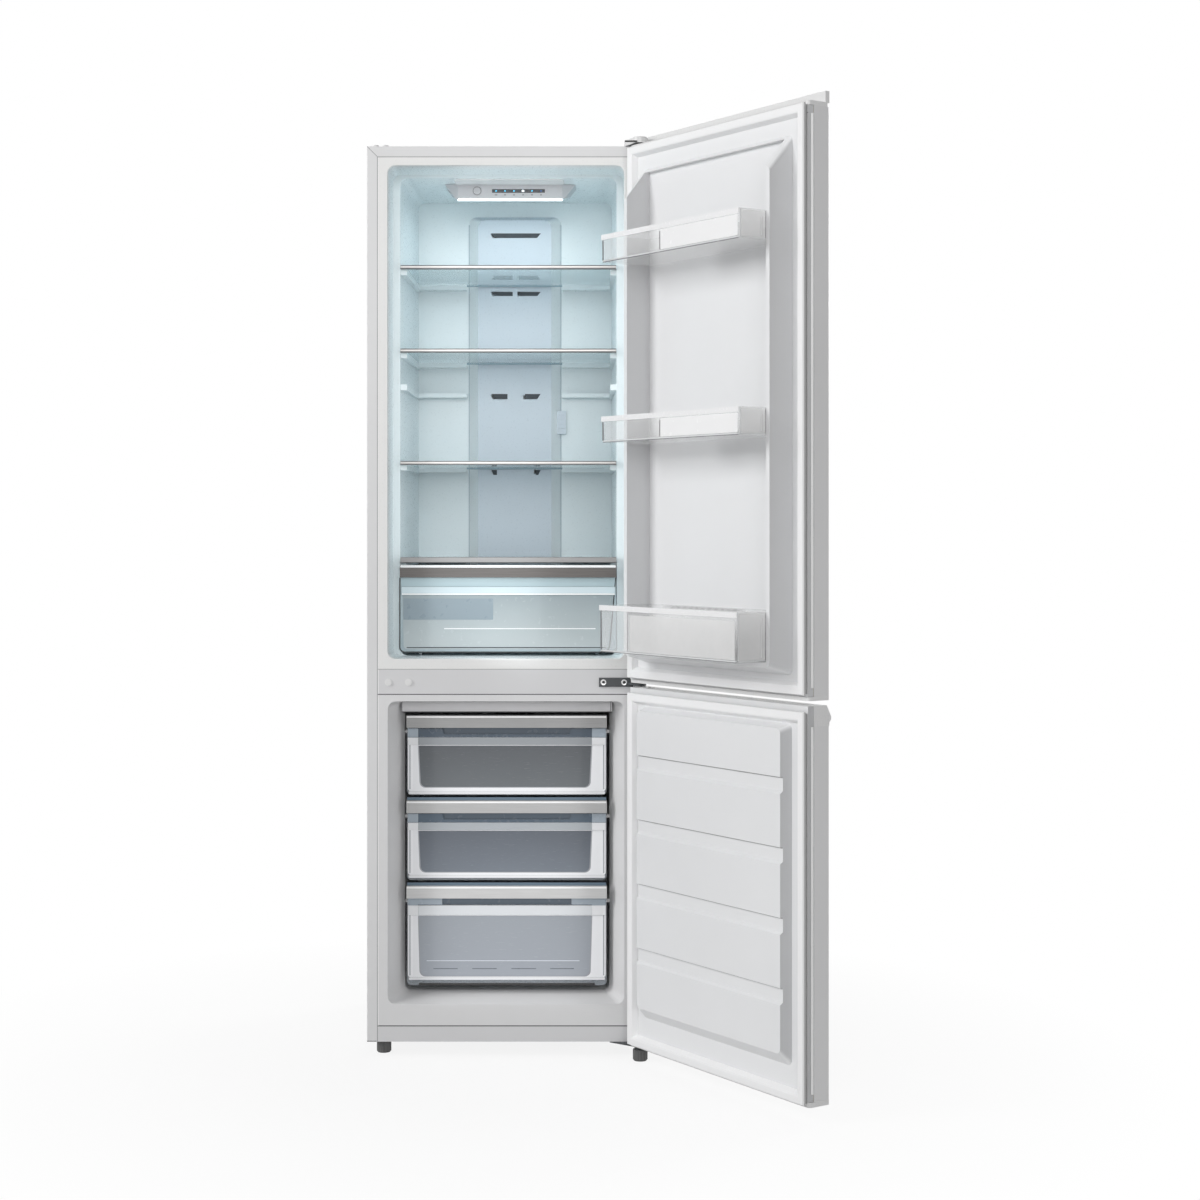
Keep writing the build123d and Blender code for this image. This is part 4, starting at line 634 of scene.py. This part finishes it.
# A blue-grey plate in the gap above drawers 2 and 3: painted shade of what the gap shows.
for number, foot in ((2, 502.1), (3, 332.1)):
    panel(f"drawer_{number}_gap_shade", (-198.5, 198.5), (foot, foot + 6.0), (33.0, 36.0), gap_painted_shade,
          f"freezer_drawer_{number}", bevel=0.3)

WINDOW_LINES = (39.2, 39.7)
DASHES = ((-146.5, -98), (-69, -20), (9, 58.5), (86.5, 134))
parts = [("line", rounded((-160, 145), (180.4, 182.0)), WINDOW_LINES, pale_line, 0)]
for number, across in enumerate(DASHES):
    parts.append((f"dash_{number}", rounded(across, (164.6, 166.2)), WINDOW_LINES, dark_line, 0))
parts.append(("foot_shadow", rounded((-176.0, 176.0), (132.3, 136.4), (1.5,) * 4), ahead(TUB_FACE, 0.3, 0.5),
              painted_shade_black, 0))
plates("drawer_3", parts, "freezer_drawer_3")

FASCIA_LINES = (
    ("left_end", (-209.9, -208.3), (678.2, 699.5)),
    ("right_end", (206.5, 208.3), (678.2, 699.5)),
    ("foot", (-209.5, 209.5), (678.1, 679.6)),
    ("head", (-209.5, 209.5), (698.2, 699.6)),
)
for part, across, up in FASCIA_LINES:
    panel(f"fascia_{part}", across, up, (35.8, 36.1), fascia_dark, "cabinet")

# ---- Crisper front ---------------------------------------------------------------------------
CRISPER_FACE = 106.0
aqua_dark = moulded("aqua_dark", (0.42, 0.54, 0.58), 0.22)
aqua_pale = moulded("aqua_pale", (0.60, 0.70, 0.74), 0.22)
# The crisper window's aqua is the tub's own tint; its darkening towards the top is painted shade of the tub's
# inside.
aqua_window_painted_shade = graded("aqua_window_painted_shade", (0.49, 0.535, 0.545), (0.29, 0.34, 0.36), "Z", (0.800, 0.905), 0.24, 90.0,
                    coat=0.3)
band_tint = moulded("band_tint", (0.23, 0.29, 0.33), 0.30)
gap_painted_shadow = coated("gap_painted_shadow", (0.012, 0.016, 0.018), 0.3, grain=90.0)
# A pale strip along the crisper bar: a painted highlight.
panel("crisper_bar_highlight", (-218, 218), (965.0, 969.8), (95.3, 95.7), highlight_white, "crisper",
      bevel=EASED, radii=(1,) * 4)
FACE = ahead(CRISPER_FACE, 0, 0.4)
EDGE = ahead(CRISPER_FACE, 0, 0.5)
# The painted shadow of the gap round the crisper front: its lowest and highest point, and where its left part
# ends.
FOOT, HEAD, BEND = 792.4, 944.0, -180.0
outer = rounded((-221.0, BEND), (FOOT, HEAD), (11, 0, 0, 0), 8)[:-3]
inner = rounded((-218.6, BEND), (794.6, HEAD), (9, 0, 0, 0), 8)[:-3]
left_shadow = [(-221.0, HEAD)] + outer + [(BEND, FOOT), (BEND, 794.6)] + inner[::-1] + [(-218.6, HEAD)]
right_shadow = [(204.5, 806.0), (206.7, 806.0), (218.8, HEAD), (216.6, HEAD)]
corner = [(196.0, FOOT), (203.0, 796.0), (206.7, 806.0), (204.5, 806.0), (201.2, 797.6), (196.0, 794.6)]
CRISPER = (
    ("shade", rounded((-217, 217), (926.3, 944.5)), FACE, aqua_dark, EASED),
    ("strip", rounded((-216, 216), (912.6, 925.5)), (103.6, 104.0), aqua_pale, EASED),
    ("line", rounded((-216, 216), (909.4, 912.4), (1,) * 4), (103.2, 104.0), highlight_white, EASED),
    ("window", flared((-212, 202), (799.0, 908.0), 8, (-214, 212)), FACE, aqua_window_painted_shade, EASED),
    ("shadow_left", left_shadow, EDGE, gap_painted_shadow, 0),
    ("shadow_foot", rounded((BEND, 196.0), (FOOT, 794.6)), EDGE, gap_painted_shadow, 0),
    ("shadow_right", right_shadow, EDGE, gap_painted_shadow, 0),
    ("shadow_corner", corner, EDGE, gap_painted_shadow, 0),
    ("label", rounded((-212.5, -30.5), (859.0, 902.0)), (105.3, 105.6), band_tint, 0),
    ("inner_line", rounded((-130, 177), (840.0, 841.8)), (105.2, 105.6), highlight_white, 0),
    # A dark line along the window's foot: painted shade.
    ("foot_line", rounded((-206, 198), (801.6, 803.4)), (105.2, 105.6), slot_painted_shade, 0),
)
plates("crisper", CRISPER, "crisper")

# ---- Door bins -------------------------------------------------------------------------------
bin_edge = moulded("bin_edge", (0.70, 0.71, 0.72))
bin_white = moulded("bin_insert", (0.92, 0.92, 0.925), 0.24)
# A whitish veil over the bins' fronts and free ends: painted light over their shaded insides.
bin_frost = clear("bin_frost", (0.97, 0.97, 0.97), 0.42, 0.6)
bin_dark = coated("bin_line", (0.22, 0.22, 0.23), 0.25, grain=90.0)
# Each bin: its lowest and highest point in front, and the depth of its front face.
BINS = {"upper": (1552.0, 1605.0, 124.6), "middle": (1208.0, 1258.0, 124.6), "bottom": (809.0, 898.0, 129.0)}
# How far the bins' free end lies from the hinge, and the layers on it.
END_WALL = 480.3
VEIL_DEPTH = (END_WALL - 0.1, END_WALL + 0.1)
WALL = (END_WALL - 0.1, END_WALL + 0.25)
for name, (low, high, front) in BINS.items():
    lip = (front + 0.05, front + 0.6)
    rail = (front - 1.6, front + 0.6)
    if name == "bottom":
        parts = [
            ("frost", rounded((150, 474), (low + 5, high - 16)), lip, bin_frost, 0),
            ("divider", rounded((147, 149), (low + 5, high - 16)), lip, bin_edge, 0),
        ]
    else:
        panel(f"{name}_bin_insert", (244, 477), (low + 5, high - 11), lip, bin_white, "upper_door",
              on_door, EASED, (2,) * 4)
        parts = [("divider", rounded((240.8, 243), (low + 5, high - 14)), lip, bin_dark, 0)]
    parts += [
        ("foot", rounded((54, 477), (low + 1.5, low + 4)), rail, bin_edge, EASED),
        ("foot_line", rounded((54, 477), (low + 0.2, low + 1.5)), rail, bin_dark, 0),
        ("hinge_edge", rounded((50.6, 52.4), (low + 4, high - 10)), ahead(front, 1.0, 3.0), bin_dark, 0),
    ]
    plates(f"{name}_bin", parts, "upper_door", on_door)
    end = (
        ("frost", rounded((67.0, front - 4.0), (low + 4, high - 3)), VEIL_DEPTH, bin_frost, 0),
        ("front", rounded(ahead(front, 1.4, 3.4), (low + 3, high - 1)), WALL, bin_edge, 0),
        ("rear", rounded((64.0, 66.0), (low + 2, high - 1)), WALL, bin_dark, 0),
        ("inner", rounded((75.0, 76.6), (low + 8, high - 12)), WALL, bin_edge, 0),
        ("head", rounded((64.0, front - 2.0), (high - 2.2, high - 0.8)), WALL, highlight_white, 0),
        ("foot", rounded((64.0, front - 3.0), (low + 2, low + 3.6)), WALL, bin_edge, 0),
    )
    plates(f"{name}_bin_end", end, "upper_door", on_bin_end)

# ---- Door gaskets ----------------------------------------------------------------------------
# Both gaskets' outline along the door, and each one's over the height.
SEAL_SPAN = (-4.0, 539.0)
SEAL_HEIGHTS = (("upper", (752.0, 1790.0)), ("lower", (34.6, 723.0)))
# A gasket's section, from its outer foot round to its inner foot: inset from the outline, and depth.
SEAL_PROFILE = ((3, 17.8), (3, 22.9), (0, 23.3), (0, 26.8), (1.6, 29.4), (13, 29.4), (16, 28.4), (21.5, 18.2),
                (21.5, 17.8))
# The gasket's material slots: its front, and its groove and outer side in darker copies of the rubber that
# paint their shade.
FRONT_FACES, GROOVE_FACES, SIDE_FACES = 0, 1, 2
for door, heights in SEAL_HEIGHTS:
    build = bmesh.new()
    rings = []
    for inset, depth in SEAL_PROFILE:
        corners = rounded((SEAL_SPAN[0] + inset, SEAL_SPAN[1] - inset),
                          (heights[0] + inset, heights[1] - inset))
        rings.append([build.verts.new(on_door(away, depth, up)) for away, up in corners])
    for step, ring in enumerate(rings):
        after_ring = rings[(step + 1) % len(rings)]
        for corner in range(4):
            after = (corner + 1) % 4
            face = build.faces.new((ring[corner], ring[after], after_ring[after], after_ring[corner]))
            face.material_index = GROOVE_FACES if step < 2 else SIDE_FACES if step == 2 else FRONT_FACES
    seal = add_piece(f"{door}_seal", build, seal_rubber, f"{door}_door")
    seal.data.materials.append(seal_groove_painted_shade)
    seal.data.materials.append(seal_side_painted_shade)
    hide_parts(f"{door}_door_gasket")

# ---- Doors: edge beads, pressed bands, seam, vent and stop plate -----------------------------
# The bead along each door's free edge is pale: a painted highlight.
BEAD = [(539.7, 12.0), (542.0, 8.2), (539.7, 5.4)]
# The lower door's pressed bands, from the top one down.
BANDS = 4
FIRST_BAND, BAND_STEP = 605.5, 124.4
for door, heights in (("upper", (764.5, 1772.5)), ("lower", (52.5, 696.5))):
    plate(f"{door}_door_bead", BEAD, heights, seam_highlight, f"{door}_door", level_on_door)
for band in range(BANDS):
    top = FIRST_BAND - BAND_STEP * band
    panel(f"band_{band}_shadow", (42.0, 488.0), (top - 2.2, top), (33.4, 33.75), band_shadow, "lower_door",
          on_door)
panel("door_top_seam", (-9.0, 539.0), (1772.2, 1773.4), (17.3, 17.8), seam_grey, "upper_door",
      on_door)
# A black patch for the vent's hole: painted shade.
panel("liner_vent", (516.3, 519.3), (756.0, 759.5), (17.0, 17.7), painted_shade_black, "upper_door",
      on_door, radii=(1.2,) * 4)
panel("stop_plate", (14.0, 48.0), (733.0, 735.0), (-2.0, 14.0), silver, "lower_door", on_door,
      bevel=0.4)
# Black patches for the sockets of the stop plate's screws: painted shade.
for number, away in enumerate((22.0, 40.0)):
    panel(f"stop_screw_{number}", (away - 2, away + 2), (735.0, 735.3), (4.0, 8.0), painted_shade_black,
          "lower_door", on_door)

# ---- Cabinet: seams between its sheets -------------------------------------------------------
SEAM_DEPTH = (-0.12, 0.1)
SEAMS = (
    ("left_seam", (-255.0, -253.6), (29.5, 1779.5), seam_grey),
    # Pale strips beside the side seams: painted highlights on the liner's edge.
    ("left_seam_light", (-253.6, -251.8), (60.5, 1778.0), seam_highlight),
    ("right_seam", (253.6, 255.0), (29.5, 1779.5), seam_grey),
    ("right_seam_light", (251.8, 253.6), (60.5, 1778.0), seam_highlight),
    ("top_seam", (-253.6, 253.6), (1778.4, 1779.8), seam_grey),
    ("rail_head_seam", (-253.6, 253.6), (765.1, 766.2), seam_grey),
    ("rail_foot_seam", (-253.6, 253.6), (715.0, 716.8), dark_seam),
    ("plinth_seam", (-253.6, 253.6), (59.2, 61.2), dark_seam),
    ("left_foot_shadow", (-274.8, -256.0), (29.0, 30.6), dark_seam),
)
MITRE = [(-275, 1799.4), (-254.4, 1778.6), (-253.6, 1779.4), (-274.2, 1800)]
for name, across, up, finish in SEAMS:
    panel(name, across, up, SEAM_DEPTH, finish, "cabinet")
plate("mitre_seam", MITRE, SEAM_DEPTH, seam_grey, "cabinet")
# A black plate in the gap under the hinge cover: painted shade.
panel("hinge_cover_gap", (234.5, 258.5), (1800.1, 1803.6), (-45.8, -45.3), painted_shade_black, "cabinet")


# ---- Light, floor and camera -----------------------------------------------------------------
def bright_to_camera(tree, plain, place):
    """Mixes a shader with plain white for what is seen directly, in mirrors and through glass."""
    path = node(tree, "ShaderNodeLightPath", (place[0] - 600, place[1] + 300))
    camera_or_glossy = node(tree, "ShaderNodeMath", (place[0] - 400, place[1] + 200), operation="MAXIMUM")
    tree.links.new(path.outputs["Is Camera Ray"], camera_or_glossy.inputs[0])
    tree.links.new(path.outputs["Is Glossy Ray"], camera_or_glossy.inputs[1])
    seen = node(tree, "ShaderNodeMath", (place[0] - 200, place[1] + 200), operation="MAXIMUM")
    tree.links.new(camera_or_glossy.outputs[0], seen.inputs[0])
    tree.links.new(path.outputs["Is Transmission Ray"], seen.inputs[1])
    white = node(tree, "ShaderNodeBackground" if plain.bl_idname == "ShaderNodeBackground" else
                 "ShaderNodeEmission", (place[0] - 200, place[1] - 200))
    white.inputs["Color"].default_value = (1, 1, 1, 1)
    white.inputs["Strength"].default_value = 1.0
    mix = node(tree, "ShaderNodeMixShader", place)
    tree.links.new(plain.outputs[0], mix.inputs[1])
    tree.links.new(white.outputs[0], mix.inputs[2])
    return mix, seen.outputs[0]


def add_world(strength):
    """Even light from all sides."""
    world = bpy.data.worlds.new("studio")
    bpy.context.scene.world = world
    world.use_nodes = True
    tree = world.node_tree
    tree.nodes.clear()
    light = node(tree, "ShaderNodeBackground", (-200, 0))
    light.inputs["Color"].default_value = (1.0, 1.0, 1.0, 1)
    light.inputs["Strength"].default_value = strength
    mix, seen = bright_to_camera(tree, light, (200, 0))
    tree.links.new(seen, mix.inputs[0])
    output = node(tree, "ShaderNodeOutputWorld", (400, 0))
    tree.links.new(mix.outputs[0], output.inputs["Surface"])


# The floor looks white, but keeps some of the object's shadow, less of it further off. Its own tone is lower
# for the light that it throws back than for the eye.
FLOOR_HALF = 30.0
WHITE_SHARE = (0.84, 1.0)
FADE_DISTANCE = (0.35, 1.3)
LIT_TONES = ((0.59,) * 3, (0.61,) * 3)
SEEN_TONES = ((0.94,) * 3, (0.96,) * 3)


def add_floor():
    """A pale floor below the object."""
    mesh = bpy.data.meshes.new("floor")
    mesh.from_pydata([(across * FLOOR_HALF, away * FLOOR_HALF, 0) for across, away in
                      ((-1, -1), (1, -1), (1, 1), (-1, 1))], [], [(0, 1, 2, 3)])
    floor = bpy.data.objects.new("floor", mesh)
    bpy.context.scene.collection.objects.link(floor)
    made, tree, shader, vector = empty_material("floor_white")
    shader.inputs["Roughness"].default_value = 0.9
    mix, seen = bright_to_camera(tree, shader, (600, 0))
    grain = spread(tree, noise(tree, vector, 3.0), 0.0, 1.0)
    base = node(tree, "ShaderNodeMix", (-250, 150), data_type="RGBA")
    tree.links.new(seen, base.inputs["Factor"])
    tree.links.new(tint(tree, grain, *LIT_TONES), base.inputs["A"])
    tree.links.new(tint(tree, grain, *SEEN_TONES, (-450, -50)), base.inputs["B"])
    tree.links.new(base.outputs["Result"], shader.inputs["Base Color"])
    far = node(tree, "ShaderNodeVectorMath", (-1000, 900), operation="LENGTH")
    tree.links.new(vector, far.inputs[0])
    share = node(tree, "ShaderNodeMath", (400, 300), operation="MULTIPLY")
    fade = mapped(tree, far.outputs["Value"], FADE_DISTANCE, WHITE_SHARE, (-700, 900))
    tree.links.new(fade, share.inputs[1])
    tree.links.new(seen, share.inputs[0])
    tree.links.new(share.outputs[0], mix.inputs[0])
    output = next(n for n in tree.nodes if n.bl_idname == "ShaderNodeOutputMaterial")
    tree.links.new(mix.outputs[0], output.inputs["Surface"])
    mesh.materials.append(made)


def add_lamp(name, place, target, size, power, color=(1, 1, 1)):
    """A soft rectangular lamp, turned towards a point."""
    lamp = bpy.data.lights.new(name, "AREA")
    lamp.shape = "RECTANGLE"
    lamp.size, lamp.size_y = size
    lamp.energy = power
    lamp.color = color
    obj = bpy.data.objects.new(name, lamp)
    bpy.context.scene.collection.objects.link(obj)
    obj.location = place
    obj.rotation_euler = (Vector(target) - Vector(place)).to_track_quat("-Z", "Y").to_euler()


# Lamps round the object, and weak ones under the fridge's ceiling and in the two mouths.
add_world(0.25)
add_floor()
add_lamp("key", (-5.0, -2.0, 3.4), (0.1, 0.0, 1.0), (2.4, 2.4), 176.0)
add_lamp("front", (0.4, -6.0, 2.4), (0.0, 0.3, 1.0), (3.0, 2.0), 92.0)
add_lamp("rear", (4.2, 3.6, 2.8), (0.0, 0.3, 1.0), (2.4, 2.4), 110.0)
add_lamp("cavity", (0.0, 0.225, 1.712), (0.0, 0.30, 1.0), (0.20, 0.06), 0.12, (0.80, 0.95, 1.0))
add_lamp("fridge_mouth", (-0.05, -0.01, 1.25), (0.08, 0.45, 1.25), (0.24, 0.90), 0.68, (0.92, 0.98, 1.0))
add_lamp("freezer_mouth", (0.0, -0.01, 0.39), (0.0, 0.40, 0.39), (0.30, 0.56), 0.17)

scene = bpy.context.scene
scene.view_settings.view_transform = "Standard"

# The photograph's frame is 1200 pixels wide. The camera looks level, and the frame's middle lies below the
# eye's height.
FRAME_WIDTH = 1200.0
FOCAL_PIXELS = 2141.0
RISE_PIXELS = 73.0
SENSOR = 36.0
EYE = (0.186, -4.235, 1.047)
lens = bpy.data.cameras.new("camera")
lens.sensor_width = SENSOR
lens.lens = SENSOR * FOCAL_PIXELS / FRAME_WIDTH
lens.shift_y = -RISE_PIXELS / FRAME_WIDTH
lens.clip_end = 200.0
camera = bpy.data.objects.new("camera", lens)
bpy.context.scene.collection.objects.link(camera)
camera.location = EYE
camera.rotation_euler = (pi / 2, 0, 0)
scene.camera = camera
